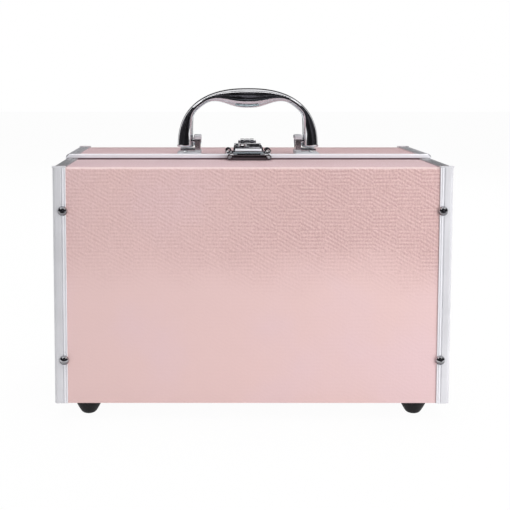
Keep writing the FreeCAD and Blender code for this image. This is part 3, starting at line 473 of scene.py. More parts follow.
skin_front = embossed_skin(
    "embossed_skin_front", "x", "z", fade_low=0.092, fade_high=0.142, least=0.10, lilac=0.0,
    edge=corners("front_panel")[1].z * MM,
)
skin_side = embossed_skin(
    "embossed_skin_side", "y", "z", fade_low=0.060, fade_high=0.150, least=0.35, lilac=0.0)
skin_top = embossed_skin(
    "embossed_skin_top", "x", "y", fade_low=-0.08, fade_high=0.02, least=0.55, lilac=0.9)
trim_upright = drawn_aluminium("aluminium_upright", "z", bright=0.72, dull=0.61, metallic=0.15)
# A brighter copy of the upright aluminium: painted highlight on the bead along the trims' free edges
lip_highlight_trim = drawn_aluminium("aluminium_lip_highlight", "z", bright=0.87, dull=0.81, metallic=0.10)
# A darker copy of the aluminium: painted shade on the lid's side trims and the bottom trims
shaded_trim = drawn_aluminium("aluminium_shaded", "y", bright=0.62, dull=0.52, metallic=0.40)
# The darkest copy of the aluminium: painted shade on the flap's side trims
flap_shaded_trim = drawn_aluminium("aluminium_flap_shaded", "y", bright=0.42, dull=0.34, metallic=0.35)
# The brightest copy of the aluminium: painted highlight on the lid's front rail and the lever's bars
highlight_trim = drawn_aluminium("aluminium_highlight", "x", bright=0.95, dull=0.93, metallic=0.05)
bracket_metal = drawn_aluminium("aluminium_bracket", "x", bright=0.74, dull=0.58, metallic=0.35)
chrome = polished_metal("bright_chrome", (0.80, 0.80, 0.82), roughness=0.04, smear=0.06)
satin = polished_metal("satin_chrome", (0.78, 0.78, 0.80), roughness=0.20, smear=0.10)
# The rivets' chrome is a darker copy of the bright chrome as painted shade, with painted shade below
shaded_rivet_chrome = polished_metal(
    "rivet_chrome_shaded", (0.48, 0.48, 0.50), roughness=0.06, smear=0.06, underside=UNDERSIDE_PAINTED_SHADE)
# The strike's chrome is near black: painted shade for the dark inside of the strike
strike_shade_chrome = polished_metal("strike_chrome_shaded", (0.13, 0.125, 0.135), roughness=0.10, smear=0.10)
lock_metal = polished_metal("lock_face", (0.74, 0.73, 0.72), roughness=0.16, smear=0.16)
steel = brushed_steel("steel_fittings")
hinge_pink = moulded(
    "hinge_enamel", (0.70, 0.50, 0.50), (0.62, 0.44, 0.44),
    roughness=0.4, grain_scale=1200, grain_depth=0.00003,
)
rubber = moulded(
    "black_rubber", (0.012, 0.012, 0.013), (0.035, 0.035, 0.036),
    roughness=0.55, grain_scale=900, grain_depth=0.00012, gloss=0.15,
)
tray_black = moulded(
    "tray_plastic", (0.030, 0.029, 0.031), (0.060, 0.058, 0.060),
    roughness=0.36, grain_scale=1400, grain_depth=0.00005,
)
frame_pink = moulded(
    "frame_plastic", (0.60, 0.36, 0.36), (0.68, 0.46, 0.46),
    roughness=0.45, grain_scale=1200, grain_depth=0.00005,
)
# The seal's dark brown is painted shadow for the gap under the lid's front rail
gap_shadow_brown = moulded(
    "seal_gap_shadow", (0.150, 0.095, 0.105), (0.20, 0.14, 0.15),
    roughness=0.6, grain_scale=900, grain_depth=0.00010,
)
lining = flocked("lining_cloth")
mirror_silver = silvered_glass("mirror_glass")


# Aluminium trims: ribbed angles with a rounded outer corner

GROOVE_SHARES = (0.89, 0.69)
GROOVE_HALF = 0.5
GROOVE_DEEP = 0.5
LIP_ROUND = 0.25
BEND_STEPS = 6


def ribbed_edge(leg, groove_shares):
    """Points across the outside of a leg from its free edge: distance from the corner, and depth."""
    points = [(leg, LIP_ROUND), (leg - LIP_ROUND, 0)]
    for share in groove_shares:
        middle = share * leg
        points += [
            (middle + GROOVE_HALF, 0), (middle + GROOVE_HALF / 2, GROOVE_DEEP),
            (middle - GROOVE_HALF / 2, GROOVE_DEEP), (middle - GROOVE_HALF, 0),
        ]
    return points


def angle_outline(leg_a, leg_b, thick_a, thick_b, radius, groove_shares=GROOVE_SHARES):
    """A ribbed angle with its outer corner at the origin.

    Leg a lies along the first axis and leg b along the second.
    """
    outside_a = ribbed_edge(leg_a, groove_shares)
    outside_b = [(depth, place_b) for place_b, depth in reversed(ribbed_edge(leg_b, groove_shares))]
    bend = arc((radius, radius), radius, 270, 180, BEND_STEPS)
    inside = [(thick_b, leg_b), (thick_b, thick_a), (leg_a, thick_a)]
    return outside_a + bend + outside_b + inside


TRIM_WIDTH = 10.0
TRIM_THICK = 1.2
TRIM_PROUD = 1.0
TRIM_KEEP = 4.0
CORNER_ROUND = 2.8
EDGE_ROUND = 0.8
TOP_ROUND = 2.5
CAP_TALL = 1.0
CAP_PROUD = 0.12
CAP_ROUND = 0.25
LIP_SHARE = 0.74
FACING = 0.5


def corner_trim(name, turned, capped):
    """An upright corner angle, some with a folded cap; turned names the axes it is mirrored across."""
    low, high = corners("front_right_corner_trim")
    top = corners(name)[1].z
    side_top = corners("right_side_panel")[1].z
    outline = angle_outline(TRIM_WIDTH, TRIM_WIDTH, TRIM_THICK, TRIM_THICK, CORNER_ROUND)
    shape = bmesh.new()
    add_prism(shape, [(high.x - a, low.y + b) for a, b in outline], "z", low.z, top)
    piece = finish_piece("ribbed_" + name, shape, "case", trim_upright, [name])
    carve(piece, [(
        (high.x - 2 * TRIM_THICK, low.y + TRIM_KEEP, side_top),
        (high.x + TRIM_THICK, low.y + TRIM_WIDTH + TRIM_THICK, top + TRIM_THICK),
    )])
    paint_lip_highlight(piece, low, high)
    parts = [piece]
    if capped:
        cap = bmesh.new()
        add_block(
            cap, (high.x - TRIM_WIDTH - CAP_PROUD, low.y - CAP_PROUD, top - CAP_TALL),
            (high.x + CAP_PROUD, low.y + TRIM_KEEP - CAP_PROUD, top + CAP_PROUD), CAP_ROUND,
        )
        parts.append(finish_piece("cap_of_" + name, cap, "case", trim_upright))
    for part in parts:
        for axis in turned:
            mirror_mesh(part, axis)


def paint_lip_highlight(piece, low, high):
    """Paint a highlight on the bead along the free edges of an upright trim, with a brighter aluminium."""
    piece.data.materials.append(lip_highlight_trim)
    for face in piece.data.polygons:
        spot = face.center / MM
        on_front = face.normal.y < -FACING and high.x - spot.x > LIP_SHARE * TRIM_WIDTH
        on_side = face.normal.x > FACING and spot.y - low.y > LIP_SHARE * TRIM_WIDTH
        if on_front or on_side:
            face.material_index = 1


def mirror_mesh(piece, axis):
    """Mirror a finished piece in place across the middle plane of the frame."""
    shape = bmesh.new()
    shape.from_mesh(piece.data)
    reflect(shape, axis)
    shape.to_mesh(piece.data)
    shape.free()
    piece.data.update()


for trim_node, trim_turned, trim_capped in (
    ("front_right_corner_trim", "", True), ("front_left_corner_trim", "x", True),
    ("rear_right_corner_trim", "y", False), ("rear_left_corner_trim", "xy", False),
):
    corner_trim(trim_node, trim_turned, trim_capped)


def edge_trim(node, body, side, hangs, metal):
    """A ribbed angle along a left or right edge of the top, where its side leg hangs, or of the bottom."""
    low, high = corners(node)
    half = max(abs(low.x), abs(high.x))
    thick, radius = (TRIM_PROUD, TOP_ROUND) if hangs else (TRIM_THICK, EDGE_ROUND)
    outline = angle_outline(TRIM_WIDTH, high.z - low.z, thick, TRIM_THICK, radius)
    points = [(side * (half - a), high.z - b if hangs else low.z + b) for a, b in outline]
    shape = bmesh.new()
    add_prism(shape, points, "y", low.y, high.y)
    finish_piece("ribbed_" + node, shape, body, metal, [node])


# The flap, lid and bottom trims take darker copies of the aluminium as painted shade
for side_word, side_sign in (("right", 1), ("left", -1)):
    edge_trim("flap_%s_trim" % side_word, "flap", side_sign, True, flap_shaded_trim)
    edge_trim("lid_%s_trim" % side_word, "lid", side_sign, True, shaded_trim)
    edge_trim("bottom_%s_trim" % side_word, "case", side_sign, False, shaded_trim)

RAIL_LIP = 4.0
RAIL_THICK = 1.5
RAIL_CORNER = 3.0
rail_low, rail_high = corners("lid_front_rail")
rail_shape = bmesh.new()
rail_outline = angle_outline(RAIL_LIP, rail_high.z - rail_low.z, TRIM_PROUD, RAIL_THICK, EDGE_ROUND, ())
rail_points = [(rail_low.y + a, rail_high.z - b) for a, b in rail_outline]
add_prism(rail_shape, rail_points, "x", rail_low.x, rail_high.x)
for end_sign in (-1, 1):
    slice_off(rail_shape, (end_sign * rail_high.x, 0, rail_high.z - RAIL_CORNER), (end_sign, 0, 1))
rail = finish_piece("ribbed_lid_rail", rail_shape, "lid", highlight_trim, ["lid_front_rail"])
rail_ends = []
for end_sign in (-1, 1):
    near, far = sorted((end_sign * (rail_high.x - TRIM_WIDTH), end_sign * (rail_high.x + TRIM_WIDTH)))
    rail_ends.append((
        (near, rail_low.y + RAIL_THICK, rail_high.z - TRIM_WIDTH),
        (far, rail_low.y + TRIM_WIDTH, rail_high.z + TRIM_WIDTH),
    ))
carve(rail, rail_ends)


# Boards of the top, with the lining on their undersides

BOARD_ROUND = 0.7


def top_board(node, body):
    """A board of the top with softened edges; its underside is lined."""
    low, high = corners(node)
    shape = bmesh.new()
    add_block(shape, low, high, BOARD_ROUND)
    piece = finish_piece("covered_" + node, shape, body, skin_top, [node])
    piece.data.materials.append(lining)
    for face in piece.data.polygons:
        if face.normal.z < -FACING:
            face.material_index = 1


top_board("front_flap_panel", "flap")
top_board("rear_lid_panel", "lid")


# Handle: an arch whose outside is a superellipse, swelling into the grip

ARCH_POWER = 2.4
GRIP_POWER = 1.25
SECTION_POWER = 2.2
ARCH_STATIONS = 40
SECTION_POINTS = 40
LEG_WIDTH = 12.5
LEG_DEPTH = 11.0
LEG_BLEND = 2.0
SHOULDER_PLACE = 37.0
SHOULDER_THICK = 5.7
GRIP_THICK = 16.4
GRIP_DEPTH = 15.0
LEG_LIP = 0.45
LEG_LIP_TALL = 1.8
LIP_LOWER = 0.25
LIP_UPPER = 0.8
HANDLE_SHARP = 50

handle_low, handle_high = corners("handle")
handle_y = (handle_low.y + handle_high.y) / 2


def handle_ring(x, z, lean, thick, depth):
    """One section of the handle, square to the arch."""
    inward = Vector((math.sin(lean), 0, -math.cos(lean)))
    ring = []
    for index in range(SECTION_POINTS):
        turn = 2 * math.pi * index / SECTION_POINTS
        a = math.copysign(abs(math.cos(turn)) ** (2 / SECTION_POWER), math.cos(turn)) * thick / 2
        b = math.copysign(abs(math.sin(turn)) ** (2 / SECTION_POWER), math.sin(turn)) * depth / 2
        ring.append(Vector((x, handle_y, z)) + inward * a + Vector((0, b, 0)))
    return ring


def half_arch():
    """Sections up the left half of the handle, from its foot to just short of the middle."""
    half = handle_high.x
    rise = handle_high.z - handle_low.z
    sections = []
    for index in range(ARCH_STATIONS):
        turn = math.pi / 2 * index / ARCH_STATIONS
        x = half * math.cos(turn) ** (2 / ARCH_POWER)
        z = rise * math.sin(turn) ** (2 / ARCH_POWER)
        lean = math.atan2((x / half) ** (ARCH_POWER - 1) / half, (z / rise) ** (ARCH_POWER - 1) / rise)
        upright = (x - half + LEG_WIDTH) / math.sin(lean)
        thick = (upright + SHOULDER_THICK + math.hypot(upright - SHOULDER_THICK, LEG_BLEND)) / 2
        swell = 0
        if x < SHOULDER_PLACE:
            swell = math.cos(math.pi / 2 * (x / SHOULDER_PLACE) ** GRIP_POWER) ** 2
            thick += (GRIP_THICK - SHOULDER_THICK) * swell
        depth = LEG_DEPTH + (GRIP_DEPTH - LEG_DEPTH) * swell
        centre_x = -x + math.sin(lean) * thick / 2
        centre_z = handle_low.z + z - math.cos(lean) * thick / 2
        sections.append((centre_x, centre_z, lean, thick, depth))
    return sections


def leg_lip(section):
    """Four sections at the foot of a leg: its end, the two edges of its lip, and the leg above."""
    x, z, lean, thick, depth = section
    grown = (thick + 2 * LEG_LIP, depth + 2 * LEG_LIP)
    return [
        (x, z, lean, thick, depth),
        (x, z + LIP_LOWER * LEG_LIP_TALL, lean, *grown),
        (x, z + LIP_UPPER * LEG_LIP_TALL, lean, *grown),
        (x, z + LEG_LIP_TALL, lean, thick, depth),
    ]


foot_section, *upper_sections = half_arch()
lip_clear = foot_section[1] + 2 * LEG_LIP_TALL
arch = leg_lip(foot_section) + [section for section in upper_sections if section[1] > lip_clear]
middle_section = (0, handle_high.z - GRIP_THICK / 2, 0, GRIP_THICK, GRIP_DEPTH)
other_arch = [(-x, z, -lean, thick, depth) for x, z, lean, thick, depth in reversed(arch)]
handle_shape = bmesh.new()
add_loft(handle_shape, [handle_ring(*section) for section in arch + [middle_section] + other_arch])
finish_piece("plated_handle", handle_shape, "handle", chrome, ["handle"], HANDLE_SHARP)


# Handle brackets: stepped base plate, ribbed post with a cap, pivot boss and saddle walls

bracket_low, bracket_high = corners("right_handle_bracket")
pin_low, pin_high = corners("handle_pins")
pivot_z = (pin_low.z + pin_high.z) / 2
plate_top = corners("bracket_screws")[0].z
LUG_WIDTH = 6.0
LUG_HALF = 5.5
POST_RIDGES = 4
POST_INSET = 0.5
RIDGE_DEEP = 0.45
RIDGE_STEPS = ((0.08, RIDGE_DEEP), (0.25, 0), (0.75, 0), (0.92, RIDGE_DEEP))
POST_SHORT = 3.0
SADDLE_INNER = 5.37
SADDLE_THICK = 1.3
SADDLE_TOP = 5.7
SADDLE_END = 2.4
BOSS_RADIUS = 3.6
BOSS_PROUD = 0.7
SUNK = 0.5
POST_CAP_DEEP = 3.7
POST_CAP_WIDER = 0.2
POST_CAP_LONGER = 0.5
COLLAR_TALL = 1.1
STEP_SIDE = 1.2
STEP_END = 1.8
lug_high = bracket_low.x + LUG_WIDTH


def ribbed_post(low_x, high_x, low_y, high_y):
    """A rectangle whose front and rear edges carry upright ridges."""
    front, rear = [], []
    step = (high_x - low_x) / POST_RIDGES
    for index in range(POST_RIDGES):
        start = low_x + index * step
        for share, deep in RIDGE_STEPS:
            front.append((start + share * step, low_y + deep))
            rear.append((start + share * step, high_y - deep))
    return front + rear[::-1]


def bracket_post():
    """The ribbed post, its pivot boss and the saddle walls before and behind the leg's foot."""
    shape = bmesh.new()
    outline = ribbed_post(
        bracket_low.x + POST_INSET, lug_high - POST_INSET, handle_y - LUG_HALF, handle_y + LUG_HALF)
    add_prism(shape, outline, "z", plate_top - SUNK, bracket_high.z - POST_SHORT)
    boss = rod_steps(BOSS_RADIUS, lug_high - 1, lug_high + BOSS_PROUD, 0.3)
    add_turned(shape, boss, (0, handle_y, pivot_z), "x", 32)
    for side in (-1, 1):
        walls = (handle_y + side * SADDLE_INNER, handle_y + side * (SADDLE_INNER + SADDLE_THICK))
        add_block(
            shape, (lug_high - 0.8, min(walls), plate_top - SUNK),
            (bracket_high.x - SADDLE_END, max(walls), pivot_z - SADDLE_TOP), 0.5,
        )
    return shape


def bracket_plate():
    """The stepped base plate, the cap on the post and the collar round the post's foot."""
    shape = bmesh.new()
    middle_z = (bracket_low.z + plate_top) / 2
    add_block(shape, bracket_low, (bracket_high.x, bracket_high.y, middle_z + 0.4), 0.7)
    add_block(
        shape, (bracket_low.x + STEP_SIDE, bracket_low.y + STEP_END, middle_z),
        (bracket_high.x - STEP_SIDE, bracket_high.y - STEP_END, plate_top), 0.45,
    )
    near = (bracket_low.x - POST_CAP_WIDER, handle_y - LUG_HALF - POST_CAP_LONGER)
    far = (lug_high + POST_CAP_WIDER, handle_y + LUG_HALF + POST_CAP_LONGER)
    add_block(shape, (*near, bracket_high.z - POST_CAP_DEEP), (*far, bracket_high.z), 0.9)
    add_block(shape, (*near, plate_top - 0.4), (*far, plate_top + COLLAR_TALL), 0.4)
    return shape


for side_word, side_turned in (("right", ""), ("left", "x")):
    post = bracket_post()
    plate = bracket_plate()
    for axis in side_turned:
        reflect(post, axis)
        reflect(plate, axis)
    bracket_node = side_word + "_handle_bracket"
    finish_piece("plated_%s_post" % side_word, post, "lid", satin, [bracket_node])
    finish_piece("plated_%s_plate" % side_word, plate, "lid", bracket_metal)


# Strike plate: a bent strip with rolled ends over a base block

strike_low, strike_high = corners("strike_plate")
SHEET = 0.8
ROLL_RADIUS = 1.55
ROLL_END = -200
BLOCK_INSET = 2.2
BEAD_HALF = 9.5


def strike_shape():
    """The strip with its rolled ends, the block under it and the bead along its rear edge."""
    shape = bmesh.new()
    top = strike_high.z - SHEET / 2
    roll_x = strike_high.x - ROLL_RADIUS - SHEET / 2
    roll = arc((roll_x, top - ROLL_RADIUS), ROLL_RADIUS, 90, ROLL_END, 22)
    path = [(-a, b) for a, b in reversed(roll)] + roll
    add_prism(shape, strip_outline(path, SHEET), "y", strike_low.y, strike_high.y)
    add_block(
        shape, (-roll_x + BLOCK_INSET, strike_low.y + 0.7, strike_low.z),
        (roll_x - BLOCK_INSET, strike_high.y - 1.0, strike_high.z - SHEET / 2), 0.3,
    )
    add_block(
        shape, (-BEAD_HALF, strike_high.y - 2.6, strike_high.z - SHEET),
        (BEAD_HALF, strike_high.y - 0.6, strike_high.z + 0.6), 0.5,
    )
    return shape


# Its near-black chrome is painted shade
finish_piece("plated_strike", strike_shape(), "flap", strike_shade_chrome, ["strike_plate"])


# Latch: base plate with rolled sides and two ears, and a tapered lever with bars along its front

base_low, base_high = corners("latch_base")
lever_front = corners("latch_lever")[0].y
latch_pin_low, latch_pin_high = corners("latch_pin")
lock_low, lock_high = corners("lock_cylinder")
latch_y = (latch_pin_low.y + latch_pin_high.y) / 2
latch_z = (latch_pin_low.z + latch_pin_high.z) / 2
EAR_RADIUS = 2.9
EAR_INNER = 2.7
EAR_OUTER = 5.5
BASE_THICK = 1.4
WING_RADIUS = 2.7
WING_SHEET = 1.0
WING_LONG = 14.0
WING_END = 215


def latch_base_shape():
    """The base plate, an ear on each side of the lever and the rolled sides."""
    shape = bmesh.new()
    base_top = base_low.z + BASE_THICK
    add_block(shape, base_low, (base_high.x, base_high.y, base_top), 0.45)
    ear_foot = base_top - SUNK
    eye = arc((latch_y, latch_z), EAR_RADIUS, 180, 0, 18)
    eye.insert(0, (latch_y - EAR_RADIUS - 0.8, ear_foot))
    eye.append((latch_y + EAR_RADIUS + 0.4, ear_foot))
    roll_centre = (base_high.x - WING_RADIUS, base_low.z + WING_RADIUS)
    wing = strip_outline(arc(roll_centre, WING_RADIUS - WING_SHEET / 2, -90, WING_END, 26), WING_SHEET)
    for side in (-1, 1):
        near, far = sorted((side * EAR_INNER, side * EAR_OUTER))
        soften(shape, add_prism(shape, eye, "x", near, far), 0.35, 2)
        add_prism(shape, [(side * a, b) for a, b in wing], "y", base_low.y, base_low.y + WING_LONG)
    return shape


finish_piece("plated_latch_base", latch_base_shape(), "lid", chrome, ["latch_base"])

LEVER_FRONT_HALF = 12.5
LEVER_BACK_HALF = 11.0
LEVER_BACK = 16.0
LEVER_TOP = 8.4
LEVER_NOSE = 4.6
LEVER_GAP = 0.45
SLOPE_START = 3.0
SLOPE_LONG = 14.0
SLOPE_FOOT = 0.6
SLOPE_RISE = 2.0
RIDGE_START = 0.6
RIDGE_SHARES = (0.30, 0.45, 0.60)
RIDGE_INSET = 2.4
CHEEK_THICK = 1.4
CHEEK_INSET = 0.1
CHEEK_TALL = 0.75
CHEEK_SUNK = 0.2
COLLAR_THICK = 1.2
lever_under = base_low.z + BASE_THICK + LEVER_GAP
nose_z = base_low.z + LEVER_NOSE


def lever_half(y):
    """Half the lever's width at a place along it."""
    share = (y - lever_front) / (LEVER_BACK - lever_front)
    return LEVER_FRONT_HALF + (LEVER_BACK_HALF - LEVER_FRONT_HALF) * share


def add_tapered(shape, outline):
    """A side outline drawn across the lever's tapering width."""
    rings = []
    for side in (-1, 1):
        rings.append([Vector((side * lever_half(y), y, z)) for y, z in outline])
    return add_loft(shape, rings)


def slope_point(share):
    """A place on the lever's sloping face, by its share of the way up."""
    return lever_front + SLOPE_START + SLOPE_LONG * share, nose_z + SLOPE_FOOT + SLOPE_RISE * share


def add_lever_body(shape):
    """The lever's tapering body: a low nose, a slope, a groove and the raised rear."""
    front, top = lever_front, base_low.z + LEVER_TOP
    outline = [
        (front + 0.6, lever_under), (front + 0.6, nose_z - 0.9), (front + 2.8, nose_z - 0.9),
        slope_point(0), slope_point(1), (front + 17.3, nose_z + 2.2),
        (front + 18.2, nose_z + 2.3), (front + 18.6, top - 0.4), (front + 19.2, top),
        (LEVER_BACK - 0.5, top), (LEVER_BACK, top - 0.5), (LEVER_BACK, lever_under),
    ]
    soften(shape, add_tapered(shape, outline), 0.22, 2)


def add_lever_relief(shape):
    """Ridges on the right half of the slope, and a cheek along each of its sides."""
    for share in RIDGE_SHARES:
        y, z = slope_point(share)
        ridge = [(y - 0.55, z - 0.3), (y - 0.3, z + 0.32), (y + 0.3, z + 0.42), (y + 0.55, z - 0.1)]
        add_prism(shape, ridge, "x", RIDGE_START, lever_half(y) - RIDGE_INSET)
    slope_low, slope_high = slope_point(0), slope_point(1)
    cheek_ends = (
        (slope_low[0] + CHEEK_SUNK, slope_low[1] - CHEEK_SUNK),
        (slope_high[0] - CHEEK_SUNK, slope_high[1] - CHEEK_SUNK),
    )
    for side in (-1, 1):
        rings = []
        for y, z in cheek_ends:
            outer = side * (lever_half(y) - CHEEK_INSET)
            inner = outer - side * CHEEK_THICK
            rings.append([
                Vector((outer, y, z)), Vector((outer, y, z + CHEEK_TALL)),
                Vector((inner, y, z + CHEEK_TALL)), Vector((inner, y, z)),
            ])
        soften(shape, add_loft(shape, rings), 0.25, 2)


def add_lock_collar(shape):
    """A collar round the lock cylinder."""
    middle = (lock_low + lock_high) / 2
    bore = (lock_high.x - lock_low.x) / 2 + 0.1
    outer = (lock_high.x - lock_low.x) / 2 + COLLAR_THICK
    top = lock_high.z - 0.6
    steps = [
        (bore, lever_under + 1), (outer, lever_under + 1), (outer, top - 0.4),
        (outer - 0.3, top), (bore, top),
    ]
    add_turned(shape, steps, (middle.x, middle.y, 0), "z", 36)


def lever_shape():
    """The lever with its relief, the lock's collar, and its neck and eye on the pivot pin."""
    shape = bmesh.new()
    add_lever_body(shape)
    add_lever_relief(shape)
    add_lock_collar(shape)
    neck_half = EAR_INNER - 0.4
    add_block(
        shape, (-neck_half, LEVER_BACK - 0.6, latch_z - EAR_RADIUS), (neck_half, latch_y, latch_z), 0.4)
    eye = rod_steps(EAR_RADIUS - 0.15, -neck_half, neck_half, 0.4)
    add_turned(shape, eye, (0, latch_y, latch_z), "x", 32)
    return shape


finish_piece("plated_latch_lever", lever_shape(), "latch", chrome, ["latch_lever"])

BAR_INSET = 1.6
bar_half = lever_half(lever_front) - BAR_INSET
bar_shape = bmesh.new()
lower_bar = rod_steps(0.8, -bar_half, bar_half, 0.4)
upper_bar = rod_steps(0.6, -bar_half, bar_half, 0.3)
add_turned(bar_shape, lower_bar, (0, lever_front + 0.85, nose_z - 0.75), "x", 24)
add_turned(bar_shape, upper_bar, (0, lever_front + 2.35, nose_z - 0.15), "x", 20)
# The bars take the brightest aluminium copy as a painted highlight
finish_piece("lever_front_bars", bar_shape, "latch", highlight_trim)


# Rubber feet: turned, with a recess for the screw; the steps are pairs of radius and height

foot_low, foot_high = corners("rubber_feet")
FOOT_RADIUS = 11.2
FOOT_BORE = 2.6
FOOT_RECESS = 3.5
foot_hollow = [(FOOT_BORE, FOOT_RECESS), (FOOT_BORE, 0.4), (FOOT_BORE + 0.4, 0)]
foot_bowl = [
    (3.9, 0), (4.9, 0.45), (5.9, 1.35), (6.9, 2.9), (7.9, 4.6), (9.0, 6.6), (10.1, 9.0), (10.9, 11.3),
]
foot_rim = [(FOOT_RADIUS, 12.2), (FOOT_RADIUS, foot_high.z)]
foot_centre = (foot_high.x - FOOT_RADIUS, foot_low.y + FOOT_RADIUS, 0)
foot_shape = bmesh.new()
add_turned(foot_shape, foot_hollow + foot_bowl + foot_rim, foot_centre, "z", 56)
mirrored(foot_shape, "x")
mirrored(foot_shape, "y")
finish_piece("moulded_feet", foot_shape, "case", rubber, ["rubber_feet"])


# Finishes of the CAD pieces that show as they are

NODE_FINISHES = (
    (skin_front, ("front_panel", "rear_panel")),
    (skin_side, ("right_side_panel", "left_side_panel")),
    (skin_top, ("bottom_panel",)),
    (lining, ("front_lining", "rear_lining", "right_lining", "left_lining", "floor_lining")),
    (mirror_silver, ("mirror",)),
    (frame_pink, ("mirror_frame",)),
    (gap_shadow_brown, ("lid_seal",)),
    (lock_metal, ("lock_cylinder",)),
    (tray_black, ("front_tray", "rear_tray")),
    (shaded_rivet_chrome, ("corner_rivets",)),
    (chrome, ("strike_rivets", "handle_pins", "bracket_screws", "latch_pin", "latch_rivets")),
    (hinge_pink, ("front_hinge_case_leaf", "front_hinge_lid_leaf", "front_hinge_pin")),
    (steel, ("rear_hinge_case_leaf", "rear_hinge_lid_leaf", "rear_hinge_pin")),
    (steel, ("front_hinge_screws", "rear_hinge_screws", "foot_screws", "link_wall_pins")),
    (steel, ("front_tray_pins", "front_tray_lid_arms", "front_tray_links")),
    (steel, ("rear_tray_pins", "rear_tray_lid_arms", "rear_tray_links")),
)
for node_finish, node_names in NODE_FINISHES:
    for node_name in node_names:
        node_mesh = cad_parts[node_name].data
        node_mesh.materials.clear()
        node_mesh.materials.append(node_finish)


# Floor, cards, world, lamps and camera

def stage_plane(name, centre, turn, size, material):
    """A flat sheet of the studio, turned by angles in degrees; its sizes are in metres."""
    mesh = bpy.data.meshes.new(name)
    half_x, half_y = size[0] / 2, size[1] / 2
    sheet = [(-half_x, -half_y, 0), (half_x, -half_y, 0), (half_x, half_y, 0), (-half_x, half_y, 0)]
    mesh.from_pydata(sheet, [], [(0, 1, 2, 3)])
    plane = bpy.data.objects.new(name, mesh)
    plane.location = centre
    plane.rotation_euler = [math.radians(angle) for angle in turn]
    mesh.materials.append(material)
    bpy.context.scene.collection.objects.link(plane)
    return plane


def seen_directly(tree):
    """A factor that is 1 for rays from the camera, from gloss and through glass."""
    path = tree.nodes.new("ShaderNodeLightPath")
    total = path.outputs["Is Camera Ray"]
    for word in ("Is Glossy Ray", "Is Transmission Ray"):
        step = tree.nodes.new("ShaderNodeMath")
        step.operation = "MAXIMUM"
        tree.links.new(total, step.inputs[0])
        tree.links.new(path.outputs[word], step.inputs[1])
        total = step.outputs[0]
    return total


FLOOR_GLOW = 0.965
FLOOR_DROP = 0.0002
floor_paper = Finish("pale_paper", (0.93, 0.93, 0.93), 0.9)
floor_paper.bump(floor_paper.noise(300, 3), 0.0001, 0.2)
paper_tree = floor_paper.tree
glow = paper_tree.nodes.new("ShaderNodeEmission")
share = paper_tree.nodes.new("ShaderNodeMath")
share.operation = "MULTIPLY"
share.inputs[1].default_value = FLOOR_GLOW
paper_tree.links.new(seen_directly(paper_tree), share.inputs[0])
paper_mix = paper_tree.nodes.new("ShaderNodeMixShader")
paper_tree.links.new(share.outputs[0], paper_mix.inputs[0])
paper_tree.links.new(floor_paper.shader.outputs[0], paper_mix.inputs[1])
paper_tree.links.new(glow.outputs[0], paper_mix.inputs[2])
paper_tree.links.new(paper_mix.outputs[0], paper_tree.nodes["Material Output"].inputs["Surface"])
stage_plane("floor", (0, 0, -FLOOR_DROP), (0, 0, 0), (12, 12), floor_paper.material)

# Dark cards, which only gloss and metal show, stand in for the dark of a room

dark_card = Finish("dark_card", (0.012, 0.012, 0.014), 0.9)
room = dark_card.span(dark_card.noise(1.6, 2), 0.45, 0.72, 0, 1)
dark_card.set("Base Color", dark_card.blend(room, (0.008, 0.008, 0.010), (0.17, 0.165, 0.19)))
DARK_CARDS = {
    "front_card": ((0, -1.7, 1.0), (90, 0, 0), (4.0, 2.0)),
    "floor_card": ((0, -0.97, 0.001), (0, 0, 0), (2.4, 1.46)),
    "ceiling_card": ((0, -0.90, 2.0), (0, 0, 0), (2.4, 1.6)),
    "rear_card": ((0, 1.6, 1.502), (90, 0, 0), (3.0, 3.0)),
    "right_card": ((2.0, -0.35, 1.0), (90, 0, 90), (2.7, 2.0)),
    "left_card": ((-2.0, -0.35, 1.0), (90, 0, 90), (2.7, 2.0)),
}
for card_name, (card_place, card_turn, card_size) in DARK_CARDS.items():
    card = stage_plane(card_name, card_place, card_turn, card_size, dark_card.material)
    for ray in ("camera", "diffuse", "transmission", "shadow", "volume_scatter"):
        setattr(card, "visible_" + ray, False)

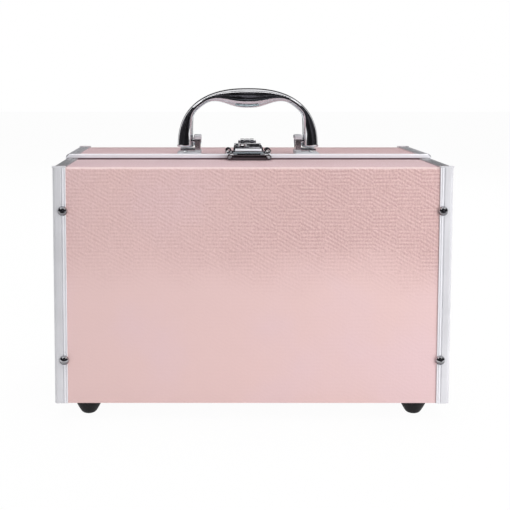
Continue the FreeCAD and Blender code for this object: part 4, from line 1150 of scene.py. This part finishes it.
world = bpy.data.worlds.new("studio")
bpy.context.scene.world = world
world.use_nodes = True
sky = world.node_tree.nodes["Background"]
sky.inputs["Color"].default_value = (1, 1, 1, 1)
WORLD_LEVEL = 0.38
level = world.node_tree.nodes.new("ShaderNodeMapRange")
level.inputs["To Min"].default_value = WORLD_LEVEL
level.inputs["To Max"].default_value = 1.0
world.node_tree.links.new(seen_directly(world.node_tree), level.inputs["Value"])
world.node_tree.links.new(level.outputs[0], sky.inputs["Strength"])


def soft_lamp(name, place_at, aim, size, watts, mirrored_in_metal=False):
    """A rectangular area lamp that the camera doesn't see; metal shows it only where asked."""
    data = bpy.data.lights.new(name, "AREA")
    data.shape = "RECTANGLE"
    data.size, data.size_y = size
    data.energy = watts
    lamp = bpy.data.objects.new(name, data)
    lamp.location = place_at
    lamp.rotation_euler = (Vector(aim) - Vector(place_at)).to_track_quat("-Z", "Y").to_euler()
    lamp.visible_glossy = mirrored_in_metal
    lamp.visible_camera = False
    bpy.context.scene.collection.objects.link(lamp)


CASE_MIDDLE = (0, 0, 0.12)
FRONT_RIGHT = (0.08, -0.08, 0.06)
soft_lamp("key", (0.80, -1.0, 0.12), FRONT_RIGHT, (0.7, 0.7), 11.0)
soft_lamp("left_fill", (-1.0, -1.0, 1.0), CASE_MIDDLE, (0.7, 0.5), 1.4)
soft_lamp("right_fill", (1.0, -1.0, 1.0), CASE_MIDDLE, (0.7, 0.5), 2.6)
soft_lamp("top_strip", (0, -0.45, 1.5), CASE_MIDDLE, (2.4, 0.12), 2.5, True)
soft_lamp("overhead", (0, 0.15, 1.6), CASE_MIDDLE, (1.4, 0.9), 12.6)
soft_lamp("rear", (0.3, 1.5, 1.0), CASE_MIDDLE, (1.2, 0.8), 9)

CAMERA_DOWN = 4.654
CAMERA_LEFT = 0.043
camera_data = bpy.data.cameras.new("camera")
camera_data.lens = 68.26
camera_data.sensor_width = 36
camera_data.shift_x = 0.1
camera_data.shift_y = -0.2
camera = bpy.data.objects.new("camera", camera_data)
camera.location = (-0.036, -0.800, 0.262)
camera.rotation_euler = (math.radians(90 - CAMERA_DOWN), 0, math.radians(CAMERA_LEFT))
bpy.context.scene.collection.objects.link(camera)
bpy.context.scene.camera = camera
bpy.context.scene.view_settings.view_transform = "Standard"
